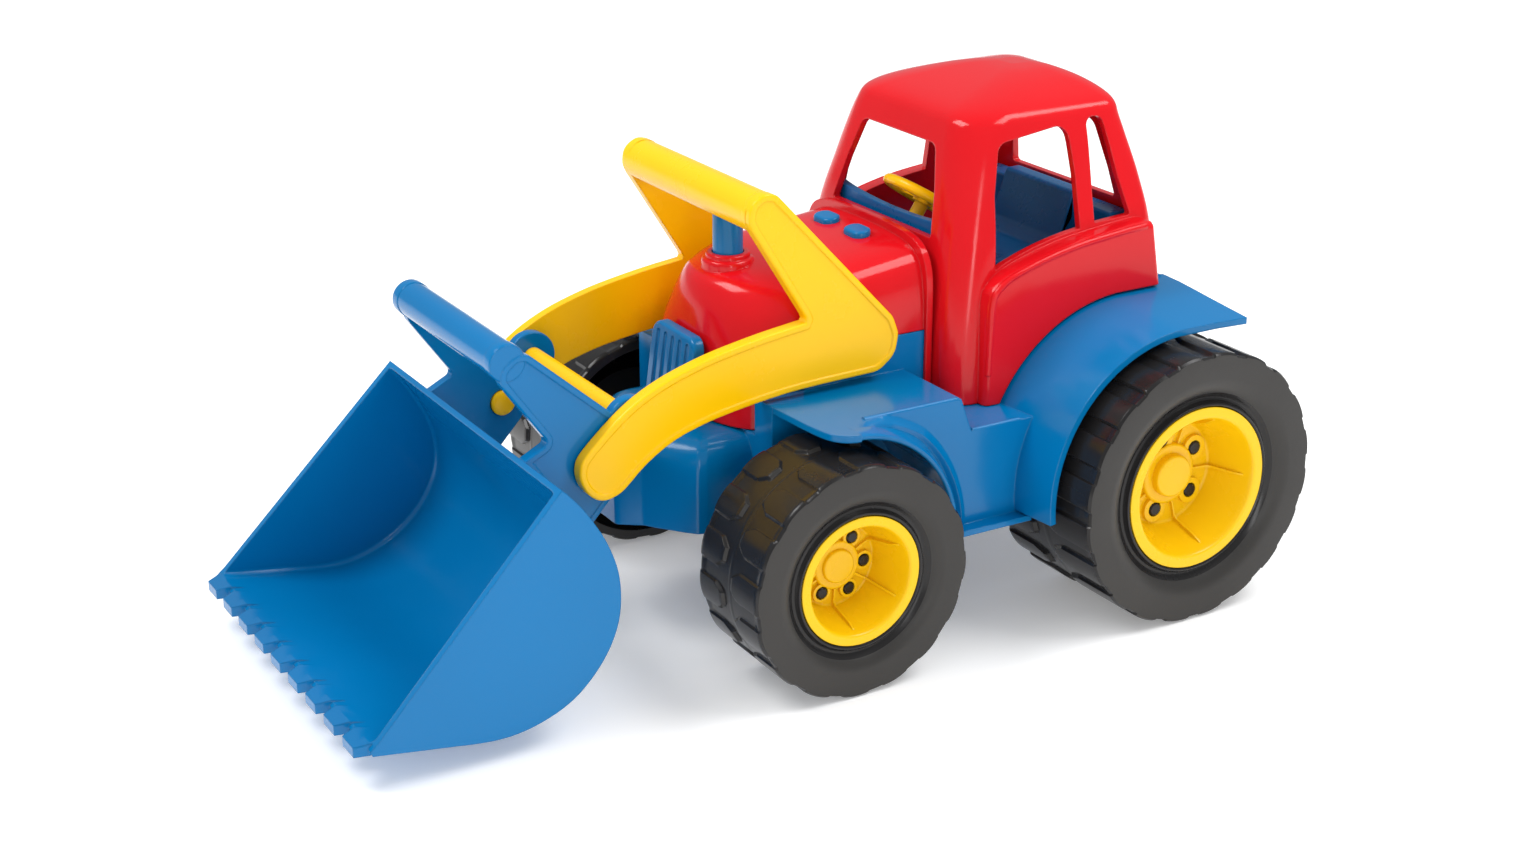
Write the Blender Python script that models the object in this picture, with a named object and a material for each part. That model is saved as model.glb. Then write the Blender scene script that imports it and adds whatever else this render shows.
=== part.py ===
"""Push-along toy tractor with a front loader.

Blue chassis, red bonnet and cab, yellow lift arms, tipping bucket and four free-running wheels.

Blender units are metres, +Z is up and the ground is z = 0. The front faces -Y, so the left is +X.
All lengths below are millimetres, with y counted from the front axle; Y_SHIFT then moves the
origin to the middle of the footprint.
"""

import math

import bpy
import bmesh
from mathutils import Matrix, Vector

for old in list(bpy.data.objects):
    bpy.data.objects.remove(old, do_unlink=True)

# ---------------------------------------------------------------- driving dimensions, mm
MM = 0.001
Y_SHIFT = -7.55
WORLD_ORIGIN = (0.0, -Y_SHIFT, 0.0)
GAP = 0.3  # clearance between fitted parts
WALL = 2.6
SHARP_ANGLE = 32  # degrees; edges bent further than this are shaded sharp

SIDES = (1, -1)  # sign of x
SIDE_NAMES = {1: "left", -1: "right"}

# Wheels: radius, axle place, and the x of the tyre's inner and outer edge.
FRONT_R, FRONT_Y, FRONT_IN, FRONT_OUT = 44.84, 0.0, 61.2, 103.0
REAR_R, REAR_Y, REAR_IN, REAR_OUT = 54.42, 144.5, 56.1, 115.3
FRONT_Z, REAR_Z = FRONT_R, REAR_R
FRONT_AXLE_R, REAR_AXLE_R = 2.0, 2.5
FRONT_AXLE_HALF, REAR_AXLE_HALF = 80.3, 90.9

# Chassis.
BODY_HALF = 52.0
FENDER_HALF = 80.0
DECK_Z, STEP_Z, SILL_Z = 97.0, 83.5, 44.0
REAR_DECK_Z = 119.0
FRONT_WALL_Y, TAIL_Y = -8.0, 175.0
RISER_Y, RISER_RUN = 56.3, 5.0  # slope from the deck down to the step
FRONT_ARCH_R, REAR_ARCH_R = 50.0, 60.5
HUMP_R = 64.5  # humped deck, round the rear axle
BAY_HALF, BAY_FRONT_Y, BAY_TOP_Z = 42.0, 12.0, 111.0  # side walls that carry the bonnet

# Bonnet, and what stands in it.
BONNET_REAR_Y = 68.0
STACK_Y = 3.6
PLUG_X, PLUG_Y, PLUG_SHANK_R = 10.9, 54.5, 2.5
GRILLE_FOOT_HALF, GRILLE_FOOT_Y = 10.0, (-22.0, -19.0)

# Loader pivots.
LIFT_Y, LIFT_Z, LIFT_PIN_R = 38.0, 104.8, 4.0
TIP_Y, TIP_Z, TIP_PIN_R = -74.4, 82.5, 4.75
TIE_Y, TIE_Z, TIE_END_R = -61.0, 98.6, 3.0

# Steering wheel: its centre, the column's axis, and the wheel plane's two directions.
STEERING_AT = (0.0, 92.6, 148.0)
STEERING_AXIS = Vector((0, 0.552, 0.834))
STEERING_UP = Vector((0, -0.834, 0.552))
STEERING_ACROSS = Vector((1, 0, 0))

# Finishes: base colour, roughness, metallic.
FINISHES = {
    "blue": {"colour": (0.012, 0.165, 0.52), "roughness": 0.32, "metallic": 0.0},
    "red": {"colour": (0.75, 0.02, 0.025), "roughness": 0.25, "metallic": 0.0},
    "yellow": {"colour": (1.0, 0.56, 0.0), "roughness": 0.35, "metallic": 0.0},
    "black": {"colour": (0.022, 0.022, 0.024), "roughness": 0.42, "metallic": 0.0},
    "steel": {"colour": (0.55, 0.55, 0.56), "roughness": 0.3, "metallic": 1.0},
}


# ---------------------------------------------------------------- outlines
def arc(centre_y, centre_z, radius, start, end, count):
    """Points (y, z) along an arc between two angles in degrees."""
    points = []
    for k in range(count):
        angle = math.radians(start + (end - start) * k / (count - 1))
        points.append((centre_y + radius * math.cos(angle), centre_z + radius * math.sin(angle)))
    return points


def arc_band(centre_y, centre_z, radius, return_radius, start, end, count):
    """Closed strip: out along one arc and back along a concentric one."""
    return (arc(centre_y, centre_z, radius, start, end, count)
            + arc(centre_y, centre_z, return_radius, end, start, count))


def circle(centre_u, centre_v, radius, segments, stretch=1.0):
    """Circle in any plane; stretch widens it along the first coordinate."""
    turns = [2 * math.pi * k / segments for k in range(segments)]
    return [(centre_u + radius * stretch * math.cos(a), centre_v + radius * math.sin(a))
            for a in turns]


def mirrored(half):
    """Outline completed by its mirror image in x; points on the centre line are not repeated."""
    return half + [(-x, other) for x, other in reversed(half) if x != 0]


def angle_at(height, radius):
    """Angle in degrees at which a circle reaches a height above its centre."""
    return math.degrees(math.asin(height / radius))


def hump_arc(radius, foot_z, count):
    """Arc round the rear axle, from foot_z in front of it to straight above it."""
    return arc(REAR_Y, REAR_Z, radius, 180 - angle_at(foot_z - REAR_Z, radius), 90, count)


# ---------------------------------------------------------------- solids
def metres(x, y, z):
    return Vector((x * MM, (y + Y_SHIFT) * MM, z * MM))


def solid(name, points, faces):
    """Mesh object from millimetre points and polygons, with its faces turned outwards."""
    mesh = bpy.data.meshes.new(name)
    mesh.from_pydata([metres(*p) for p in points], [], faces)
    bm = bmesh.new()
    bm.from_mesh(mesh)
    bmesh.ops.remove_doubles(bm, verts=bm.verts, dist=1e-7)
    bmesh.ops.recalc_face_normals(bm, faces=bm.faces)
    bm.to_mesh(mesh)
    bm.free()
    obj = bpy.data.objects.new(name, mesh)
    bpy.context.scene.collection.objects.link(obj)
    return obj


def loft(name, rings, closed=False):
    """Solid through rings of equal length; closed joins the last ring to the first."""
    count = len(rings[0])
    total = len(rings)
    faces = []
    for k in range(total if closed else total - 1):
        this, following = k * count, (k + 1) % total * count
        for j in range(count):
            n = (j + 1) % count
            faces.append((this + j, this + n, following + n, following + j))
    if not closed:
        last = (total - 1) * count
        faces.append(tuple(range(count)))
        faces.append(tuple(range(last, last + count)))
    return solid(name, [p for ring in rings for p in ring], faces)


def along_x(name, outline, start, end):
    """Prism from a (y, z) outline, between two x planes."""
    return loft(name, [[(x, y, z) for y, z in outline] for x in (start, end)])


def along_y(name, outline, start, end):
    """Prism from an (x, z) outline, between two y planes."""
    return loft(name, [[(x, y, z) for x, z in outline] for y in (start, end)])


def along_z(name, outline, start, end):
    """Prism from an (x, y) outline, between two z planes."""
    return loft(name, [[(x, y, z) for x, y in outline] for z in (start, end)])


def box(name, x0, x1, y0, y1, z0, z1):
    return along_x(name, [(y0, z0), (y1, z0), (y1, z1), (y0, z1)], x0, x1)


def rod_x(name, radius, x0, x1, y, z, segments=24):
    return along_x(name, circle(y, z, radius, segments), x0, x1)


def rod_z(name, radius, x, y, z0, z1, segments=24, stretch=1.0):
    return along_z(name, circle(x, y, radius, segments, stretch), z0, z1)


def turned(name, profile, y, z, segments, side, phase=0.0, across_flats=False):
    """Ring turned about an X axis from a closed (x, radius) profile.

    With across_flats the radii are measured to the middle of each facet.
    """
    grow = 1.0 / math.cos(math.pi / segments) if across_flats else 1.0
    rings = []
    for s in range(segments):
        angle = phase + 2 * math.pi * s / segments
        rings.append([
            (side * x, y + r * grow * math.cos(angle), z + r * grow * math.sin(angle))
            for x, r in profile
        ])
    return loft(name, rings, closed=True)


def span(side, near, far):
    """Ascending x range between two distances from the centre line, on one side."""
    return sorted((side * near, side * far))


def boolean(target, tool, operation):
    """Applies a boolean at once and removes the tool."""
    modifier = target.modifiers.new("step", "BOOLEAN")
    modifier.operation = operation
    modifier.solver = "EXACT"
    modifier.object = tool
    graph = bpy.context.evaluated_depsgraph_get()
    made = bpy.data.meshes.new_from_object(target.evaluated_get(graph))
    target.modifiers.clear()
    target.data = made
    bpy.data.objects.remove(tool, do_unlink=True)


def join(target, *tools):
    for tool in tools:
        boolean(target, tool, "UNION")


def cut(target, *tools):
    for tool in tools:
        boolean(target, tool, "DIFFERENCE")


def material(name, colour, roughness, metallic):
    mat = bpy.data.materials.new(name)
    mat.use_nodes = True
    shader = mat.node_tree.nodes["Principled BSDF"]
    shader.inputs["Base Color"].default_value = (*colour, 1.0)
    shader.inputs["Roughness"].default_value = roughness
    shader.inputs["Metallic"].default_value = metallic
    mat.diffuse_color = (*colour, 1.0)
    mat.roughness = roughness
    mat.metallic = metallic
    return mat


def finish(obj, name, colour, origin=WORLD_ORIGIN, kind=None):
    """Cleans the mesh and sets its name, origin, material and shading.

    The material is called after the kind of piece, by default its name, and the colour.
    """
    obj.name = name
    obj.data.name = name
    location = metres(*origin)
    bm = bmesh.new()
    bm.from_mesh(obj.data)
    bmesh.ops.remove_doubles(bm, verts=bm.verts, dist=1e-6)
    bmesh.ops.dissolve_degenerate(bm, edges=bm.edges, dist=2e-7)
    bmesh.ops.dissolve_limit(
        bm, angle_limit=math.radians(0.2), verts=bm.verts, edges=bm.edges)
    bmesh.ops.triangulate(bm, faces=bm.faces)
    bmesh.ops.transform(bm, matrix=Matrix.Translation(-location), verts=bm.verts)
    bm.to_mesh(obj.data)
    bm.free()
    obj.location = location
    obj.data.materials.clear()
    obj.data.materials.append(material(f"{kind or name}_{colour}", **FINISHES[colour]))
    for face in obj.data.polygons:
        face.use_smooth = True
    obj.data.set_sharp_from_angle(angle=math.radians(SHARP_ANGLE))


# ---------------------------------------------------------------- chassis
# Nose plan (x, y), left half from the front; it is scaled about y = NOSE_MID_Y.
NOSE_MID_Y = -4
NOSE = [
    (0, -53.0), (13, -53.0), (15.5, -49.5), (19, -44.5), (23, -42.0),
    (33, -34.5), (37, -31.0), (38, -27.5), (38, -4.0),
]
# Nose levels (z, scale of the plan).
NOSE_LEVELS = [(46.0, 1.0), (72.0, 1.0), (76.0, 0.985), (79.0, 0.94), (80.6, 0.87), (81.2, 0.78)]
NOSE_HOLLOW_LEVELS = [(40.0, 0.935), (72.0, 0.935), (76.0, 0.9), (78.2, 0.84)]

# Front wing plan (x, y), left side, with its rounded outer lobe.
FRONT_WING = [
    (40, -8.0), (57, -7.6), (67.7, -6.6), (80.0, -5.6), (86.6, -4.0), (90.6, -0.8),
    (92.2, 4.0), (90.6, 8.5), (86.5, 12.0), (80.0, 14.0), (80.0, RISER_Y), (40, RISER_Y),
]
SILL_PLATE = [(76, 50.5), (86, 52.0), (86, 86.5), (76, 86.5)]  # plan (x, y)
REAR_WING = [(50.0, 64.3), (60.0, 63.9), (80.0, 62.0), (100.0, 60.2)]  # (x, outer radius)


def side_outline(front_radius, rear_radius, deck, riser, step):
    """Block between the wheels: front arch, flat wing, riser, step and rear arch."""
    front = arc(
        FRONT_Y, FRONT_Z, front_radius, angle_at(SILL_Z - FRONT_Z, front_radius),
        angle_at(deck - 3 - FRONT_Z, front_radius), 9)
    rear = arc(
        REAR_Y, REAR_Z, rear_radius, 180.0 - angle_at(step - REAR_Z, rear_radius),
        180.0 - angle_at(SILL_Z - REAR_Z, rear_radius), 7)
    return front + [(front[-1][0] - 6, deck), (riser, deck), (riser + RISER_RUN, step)] + rear


def centre_body():
    """Body from the front wall to the tail, humped over the rear axle."""
    outline = [
        (FRONT_WALL_Y, 46.0), (FRONT_WALL_Y, DECK_Z),
        (RISER_Y, DECK_Z), (RISER_Y + RISER_RUN, STEP_Z),
        *hump_arc(HUMP_R, STEP_Z, 10),
        (172.0, REAR_DECK_Z), (TAIL_Y, 116.0), (TAIL_Y, 46.0),
    ]
    return along_x("centre", outline, -BODY_HALF, BODY_HALF)


def centre_hollow():
    front, tail, open_z = FRONT_WALL_Y + WALL, TAIL_Y - WALL, 30.0
    outline = [
        (front, open_z), (front, DECK_Z - WALL),
        (RISER_Y - WALL, DECK_Z - WALL), (RISER_Y + RISER_RUN - WALL, STEP_Z - WALL),
        *hump_arc(HUMP_R - WALL, STEP_Z - WALL, 10),
        (tail, REAR_DECK_Z - WALL), (tail, open_z),
    ]
    return along_x("hollow_centre", outline, -BODY_HALF + WALL, BODY_HALF - WALL)


def side_hollow():
    outline = side_outline(
        FRONT_ARCH_R + WALL, REAR_ARCH_R + 2 * WALL + 1.6,
        DECK_Z - WALL, RISER_Y - WALL, STEP_Z - WALL)
    # The points at sill height go lower, so that the hollow is open below.
    outline = [(y, z if z > SILL_Z + 0.01 else SILL_Z - 6) for y, z in outline]
    return along_x("hollow_mid", outline, -FENDER_HALF + WALL, FENDER_HALF - WALL)


def nose(name, levels):
    rings = []
    for z, scale in levels:
        rings.append([
            (x * scale, NOSE_MID_Y + (y - NOSE_MID_Y) * scale, z) for x, y in mirrored(NOSE)
        ])
    return loft(name, rings)


def rear_wing(side):
    """Curved shell over a rear wheel, running flat to the tail."""
    rings = []
    for x, outer in REAR_WING:
        inner = outer - WALL
        outline = (
            arc(REAR_Y, REAR_Z, outer, 187.0, 90.0, 14)
            + [(160.0, REAR_Z + outer), (TAIL_Y, REAR_Z + outer - 0.6)]
            + [(TAIL_Y, REAR_Z + inner - 0.6), (160.0, REAR_Z + inner)]
            + arc(REAR_Y, REAR_Z, inner, 90.0, 187.0, 14)
        )
        rings.append([(side * x, y, z) for y, z in outline])
    return loft("rear_wing", rings)


def add_side_parts(body, side):
    """Front wing, flared lip of the front arch, sill plate and rear wing."""
    wing = [(side * x, y) for x, y in FRONT_WING]
    join(body, along_z("wing", wing, DECK_Z - WALL, DECK_Z))
    lip = arc_band(FRONT_Y, FRONT_Z, FRONT_ARCH_R, FRONT_ARCH_R + WALL, 0.0, 64.0, 11)
    join(body, along_x("lip", lip, side * 78.0, side * 89.5))
    sill = [(side * x, y) for x, y in SILL_PLATE]
    join(body, along_z("sill", sill, SILL_Z, SILL_Z + 2.4))
    join(body, rear_wing(side))


def hollow_out(body):
    """Opens the body from below, and the engine bay from above."""
    bay = BAY_HALF - WALL
    bay_rear = BONNET_REAR_Y - WALL
    floor_y = (FRONT_WALL_Y + WALL, RISER_Y - WALL)
    cut(body, side_hollow(), centre_hollow(), nose("nose_in", NOSE_HOLLOW_LEVELS))
    cut(body, box("engine_bay", -bay, bay, -12.0, bay_rear, 82.0, 120.0))
    cut(body, box("engine_floor", -bay, bay, *floor_y, 60.0, 120.0))


def add_axle_carriers(body):
    """Carrier blocks inside the body, with a cross wall near the front pair."""
    for side in SIDES:
        x0, x1 = span(side, BODY_HALF - 11, BODY_HALF)
        join(body, box("front_carrier", x0, x1, -7.2, 7.2, 37.5, 62.0))
        join(body, box("rear_carrier", x0, x1, REAR_Y - 9, REAR_Y + 9, 46.5, 66.0))
    join(body, box("front_web", -51, 51, -7.6, -5.0, 48.0, 78.0))


def chassis():
    outline = side_outline(FRONT_ARCH_R, REAR_ARCH_R, DECK_Z, RISER_Y, STEP_Z)
    body = along_x("chassis", outline, -FENDER_HALF, FENDER_HALF)
    join(body, centre_body())
    join(body, box("walls", -BAY_HALF, BAY_HALF, BAY_FRONT_Y, BONNET_REAR_Y, 90, BAY_TOP_Z))
    join(body, nose("nose", NOSE_LEVELS))
    for side in SIDES:
        add_side_parts(body, side)
    hollow_out(body)
    add_axle_carriers(body)
    cut(body, rod_x("front_bore", FRONT_AXLE_R + GAP, -90, 90, FRONT_Y, FRONT_Z))
    cut(body, rod_x("rear_bore", REAR_AXLE_R + GAP, -90, 90, REAR_Y, REAR_Z))
    cut(body, rod_x("lift_bore", LIFT_PIN_R + GAP, -60, 60, LIFT_Y, LIFT_Z))
    # Slot in the nose deck for the grille's foot.
    slot_half = GRILLE_FOOT_HALF + GAP
    slot_y = (GRILLE_FOOT_Y[0] - GAP, GRILLE_FOOT_Y[1] + GAP)
    cut(body, box("slot", -slot_half, slot_half, *slot_y, 70.0, 95.0))
    finish(body, "chassis", "blue")


# ---------------------------------------------------------------- bonnet
# Levels: half width, height as a fraction of the full height, y of the front.
BONNET_LEVELS = [
    (42.0, 0.00, -16.5), (42.0, 0.35, -15.0), (41.8, 0.55, -13.0),
    (41.0, 0.72, -9.5), (39.3, 0.84, -5.0), (36.5, 0.91, 0.0),
    (31.0, 0.958, 7.0), (22.0, 0.985, 16.0), (9.0, 1.0, 27.0),
]
BONNET_TOP_FRONT, BONNET_TOP_REAR = 139.0, 148.0
BONNET_CREST_Y = 3.0  # the top slopes evenly behind this and falls away before it
BONNET_ROUNDNESS = 0.76  # exponent of the front corners; 1 is an ellipse, lower is squarer

# Band at the rear edge (x, z), left half from the bottom up.
BONNET_BAND = [
    (43.6, 84.0), (43.6, 128.0), (42.8, 137.0), (40.5, 143.6),
    (36.0, 147.6), (28.0, 149.6), (14.0, 150.6), (0.0, 151.0),
]


def bonnet_top(y):
    if y < BONNET_CREST_Y:
        return BONNET_TOP_FRONT - 0.02 * (BONNET_CREST_Y - y) ** 2
    rise = BONNET_TOP_REAR - BONNET_TOP_FRONT
    return BONNET_TOP_FRONT + rise * (y - BONNET_CREST_Y) / (BONNET_REAR_Y - BONNET_CREST_Y)


def bonnet_rings(offset, bottom, rear):
    """Stacked plan outlines of the bonnet, shrunk inwards by offset."""
    rings = []
    for half_width, height, front in BONNET_LEVELS:
        half_width, front = half_width - offset, front + offset
        corner_end = max(14.0, front + 9.0)
        half = []
        for k in range(9):
            angle = math.radians(90.0 * k / 8)
            x = half_width * math.sin(angle) ** BONNET_ROUNDNESS
            reach = (corner_end - front) * math.cos(angle) ** BONNET_ROUNDNESS
            half.append((x, corner_end - reach))
        half += [(half_width, 40.0), (half_width, rear)]
        rings.append([
            (x, y, bottom + (bonnet_top(y) - offset - bottom) * height)
            for x, y in mirrored(half)
        ])
    return rings


def bonnet():
    shell = loft("bonnet", bonnet_rings(0.0, 82.4, BONNET_REAR_Y))
    join(shell, along_y("band", mirrored(BONNET_BAND), 65.2, BONNET_REAR_Y))
    # Stepped collar for the exhaust stack.
    join(shell, rod_z("collar", 9.9, 0, STACK_Y, 130.0, 141.0))
    join(shell, rod_z("collar_top", 8.4, 0, STACK_Y, 130.0, 143.2))
    cut(shell, loft("bonnet_in", bonnet_rings(WALL, 75.0, 75.0)))
    # Room for the chassis: outside the side walls, at their rear ends, and above the deck.
    inside_bay = BAY_HALF - WALL - GAP
    wall_top, deck_top = BAY_TOP_Z + GAP, DECK_Z + GAP
    for side in SIDES:
        outer = span(side, 37.8, 60)
        cut(shell, box("wall_relief", *outer, BAY_FRONT_Y - GAP, 64.9, 70.0, wall_top))
        wall = span(side, inside_bay, BAY_HALF + GAP)
        cut(shell, box("rear_relief", *wall, 60.0, 80.0, 70.0, wall_top))
        deck = span(side, inside_bay, BODY_HALF + GAP)
        cut(shell, box("deck_relief", *deck, -8.4, 62.0, 70.0, deck_top))
    cut(shell, box("tail", -38.9, 38.9, 62.0, 80.0, 60.0, 84.2))
    cut(shell, rod_z("stack_hole", 6.2, 0, STACK_Y, 110.0, 150.0))
    for side in SIDES:
        cut(shell, rod_z("plug_hole", PLUG_SHANK_R + GAP, side * PLUG_X, PLUG_Y, 120.0, 160.0))
    finish(shell, "bonnet", "red")


def exhaust_stack():
    stack = rod_z("stack", 5.85, 0, STACK_Y, 118.5, 167.0)
    join(stack, rod_z("flange", 7.0, 0, STACK_Y, 118.0, 121.0))
    cut(stack, rod_z("throat", 3.9, 0, STACK_Y, 148.0, 175.0))
    finish(stack, "exhaust_stack", "blue", (0, STACK_Y, 139.0))


def bonnet_plug(side):
    """Plug with a round shank and a head widened across the tractor."""
    x = side * PLUG_X
    head = rod_z("plug", 4.0, x, PLUG_Y, 146.9, 148.6, 20, stretch=1.5)
    join(head, rod_z("shank", PLUG_SHANK_R, x, PLUG_Y, 135.0, 147.5, 16))
    finish(head, "bonnet_plug_" + SIDE_NAMES[side], "blue", (x, PLUG_Y, 146.0), "bonnet_plug")


# ---------------------------------------------------------------- grille
GRILLE_TOP_Z = 114.0
GRILLE_SLOPE = 0.17  # forward lean per unit of drop below the top
GRILLE = [(-15.2, 83.0), (-15.2, 110.5), (-12.2, GRILLE_TOP_Z)]  # right half (x, z)
RIB_COUNT, RIB_PITCH, RIB_HALF = 5, 5.6, 1.4
RIB_Z = (84.0, 111.5)


def leaning(name, outline, y_front, y_back):
    """Slab from an (x, z) outline that leans forward towards its foot."""
    return loft(name, [
        [(x, y - GRILLE_SLOPE * (GRILLE_TOP_Z - z), z) for x, z in outline]
        for y in (y_front, y_back)
    ])


def grille():
    slab = leaning("grille", mirrored(GRILLE), -22.2, -18.2)
    bottom, top = RIB_Z
    for k in range(RIB_COUNT):
        x = (k - (RIB_COUNT - 1) / 2) * RIB_PITCH
        left, right = x + RIB_HALF, x - RIB_HALF
        rib = [(right, bottom), (right, top), (left, top), (left, bottom)]
        join(slab, leaning("rib", rib, -23.6, -21.0))
    foot_x = (-GRILLE_FOOT_HALF, GRILLE_FOOT_HALF)
    join(slab, box("foot", *foot_x, *GRILLE_FOOT_Y, 74.0, 98.0))
    # Below z = 81.5 only the foot's footprint is kept.
    trim = box("trim", -30, 30, -60, 0, 60, 81.5)
    cut(trim, box("keep", *foot_x, *GRILLE_FOOT_Y, 60, 90))
    cut(slab, trim)
    finish(slab, "radiator_grille", "blue")


# ---------------------------------------------------------------- cab
# Levels: z, half width, front y, rear y, front corner radius, rear corner radius.
CAB = [
    (78.0, 58.5, 68.6, 166.5, 9, 5),
    (112.0, 57.0, 69.0, 166.5, 12, 5),
    (140.0, 54.5, 71.6, 165.7, 15, 5),
    (160.0, 50.5, 76.0, 161.9, 16, 5),
    (176.0, 47.0, 79.8, 157.6, 17, 6),
    (184.0, 44.6, 82.2, 156.0, 17, 7),
    (188.0, 43.0, 84.2, 155.6, 17, 7),
    (191.0, 39.4, 89.2, 154.9, 16, 7),
    (194.2, 31.4, 100.4, 152.7, 13, 8),
    (197.0, 22.0, 113.5, 148.6, 9, 8),
    (199.6, 5.0, 130.0, 139.0, 3, 3),
]
CAB_WALL = 2.8
# Hollow: an open bottom, CAB's second to sixth levels less the wall, and the roof.
CAB_HOLLOW = [
    (70.0, 55.4, 71.4, 163.6, 7, 3),
    *[(z, half_width - CAB_WALL, front + CAB_WALL, rear - CAB_WALL,
       front_r - CAB_WALL, max(rear_r - CAB_WALL, 2.4))
      for z, half_width, front, rear, front_r, rear_r in CAB[1:6]],
    (188.0, 38.0, 90.0, 152.6, 13, 5),
    (191.0, 31.0, 100.4, 151.0, 12, 6),
    (194.0, 21.0, 113.5, 147.6, 9, 7),
    (196.4, 6.0, 128.0, 140.0, 3, 3),
]

# Lower side panel with its curved belt line (y, z).
BELT = [
    (79.6, 78.0), (80.4, 122.0), (81.6, 127.0), (83.6, 129.8), (89.8, 134.2),
    (101.3, 138.0), (113.0, 140.8), (124.8, 142.8), (142.8, 144.7), (155.4, 145.5),
    (158.4, 144.6), (159.6, 142.2), (163.4, 120.6), (165.4, 100.0), (165.4, 78.0),
]
BELT_MID_Y = 124
BELT_STATIONS = [(-62.8, 0.978), (-61.2, 1.0), (61.2, 1.0), (62.8, 0.978)]  # (x, scale of y)
BELT_DROP = 72.0  # how far the upper edge sinks per unit of lost scale

# Side windows (y, z).
DOOR_WINDOW = [
    (88.2, 134.2), (90.4, 162.0), (93.0, 175.0), (95.0, 178.6), (98.6, 180.2), (121.0, 183.0),
    (125.6, 182.0), (127.8, 179.0), (128.4, 175.0), (128.8, 144.4), (113.0, 141.8),
    (101.3, 139.2),
]
QUARTER_WINDOW = [
    (135.8, 145.4), (136.1, 180.6), (137.4, 183.4), (140.2, 184.4),
    (143.0, 183.8), (144.7, 181.4), (148.8, 162.2), (153.4, 146.4),
]
# Front and rear openings (x, z), right half from the bottom up.
WINDSCREEN = [(-33.4, 151.2), (-30.4, 162.0), (-26.2, 173.6), (-23.8, 176.8), (-20.0, 177.8)]
REAR_SCREEN = [(-33.0, 148.0), (-27.0, 176.0), (-23.5, 179.0), (0.0, 180.4)]
BONNET_OPENING = [
    (-40.0, 70.0), (-40.0, 126.0), (-37.5, 136.0), (-33.0, 142.0), (-24.0, 145.0),
]


def cab_ring(z, half_width, front, rear, front_r, rear_r):
    """Rounded rectangle at one height, five points to a corner."""
    corners = (
        (half_width - rear_r, rear - rear_r, 0, rear_r),
        (-half_width + rear_r, rear - rear_r, 90, rear_r),
        (-half_width + front_r, front + front_r, 180, front_r),
        (half_width - front_r, front + front_r, 270, front_r),
    )
    ring = []
    for x, y, start, radius in corners:
        ring += [(*point, z) for point in arc(x, y, radius, start, start + 90, 5)]
    return ring


def belt_ring(x, scale):
    drop = BELT_DROP * (1 - scale)
    return [
        (x, BELT_MID_Y + (y - BELT_MID_Y) * scale, z if z < 100 else z - drop) for y, z in BELT
    ]


def cab():
    shell = loft("cab", [cab_ring(*level) for level in CAB])
    join(shell, loft("belt", [belt_ring(*station) for station in BELT_STATIONS]))
    cut(shell, loft("cab_in", [cab_ring(*level) for level in CAB_HOLLOW]))
    # The bottom edge follows the step and the humped deck of the chassis.
    under = [
        (60.0, STEP_Z + GAP), *hump_arc(HUMP_R + GAP, STEP_Z + GAP, 12),
        (180.0, REAR_DECK_Z + GAP), (180.0, 40.0), (60.0, 40.0),
    ]
    cut(shell, along_x("under", under, -90, 90))
    cut(shell, along_x("door", DOOR_WINDOW, -90, 90))
    cut(shell, along_x("quarter", QUARTER_WINDOW, -90, 90))
    cut(shell, along_y("screen", mirrored(WINDSCREEN), 50.0, 100.0))
    cut(shell, along_y("rear_screen", mirrored(REAR_SCREEN), 148.0, 190.0))
    cut(shell, along_y("opening", mirrored(BONNET_OPENING), 55.0, 76.5))
    finish(shell, "cab", "red")


# ---------------------------------------------------------------- cab interior
# Seat side view (y, z).
SEAT = [
    (110.0, 120.2), (140.0, 119.6), (161.0, 119.6), (161.0, 134.0), (151.0, 134.5),
    (149.5, 144.0), (144.5, 145.0), (138.0, 127.0), (134.0, 124.6), (112.0, 125.6),
]
# Dashboard panel (x, z), left half from the bottom up.
DASHBOARD = [(37.0, 84.2), (37.0, 140.0), (38.2, 150.2), (20.0, 148.2), (0.0, 147.4)]
DASHBOARD_SHELF = [(-36.0, 78.0), (36.0, 78.0), (30.0, 89.0), (-30.0, 89.0)]  # plan (x, y)


def seat():
    block = along_x("seat", SEAT, -22.5, 22.5)
    under = arc(REAR_Y, REAR_Z, HUMP_R + GAP, 150, 90, 12)
    under += [(165.0, REAR_DECK_Z + GAP), (165.0, 100.0)]
    cut(block, along_x("seat_under", under, -50, 50))
    finish(block, "seat", "blue")


def steering_column(name, radius, start, end):
    """Rod on the steering axis, between two distances from the wheel's centre."""
    rings = []
    for along in (start, end):
        centre = Vector(STEERING_AT) + STEERING_AXIS * along
        rings.append([
            tuple(centre + STEERING_ACROSS * u + STEERING_UP * v)
            for u, v in circle(0, 0, radius, 16)
        ])
    return loft(name, rings)


def dashboard():
    panel = along_y("dash", mirrored(DASHBOARD), 76.9, 79.9)
    join(panel, along_z("shelf", DASHBOARD_SHELF, 137.0, 140.5))
    join(panel, box("foot", -36.0, 36.0, 77.0, 84.0, 84.2, 86.8))
    cut(panel, steering_column("hole", 3.25, -2.0, -40.0))
    finish(panel, "dashboard", "blue")


def steering_rim(ring_r, tube_r, ring_segments, tube_segments):
    rings = []
    for u, v in circle(0, 0, 1.0, ring_segments):
        outward = STEERING_ACROSS * u + STEERING_UP * v
        rings.append([
            tuple(Vector(STEERING_AT) + outward * out + STEERING_AXIS * along)
            for out, along in circle(ring_r, 0, tube_r, tube_segments)
        ])
    return loft("ring", rings, closed=True)


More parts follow.
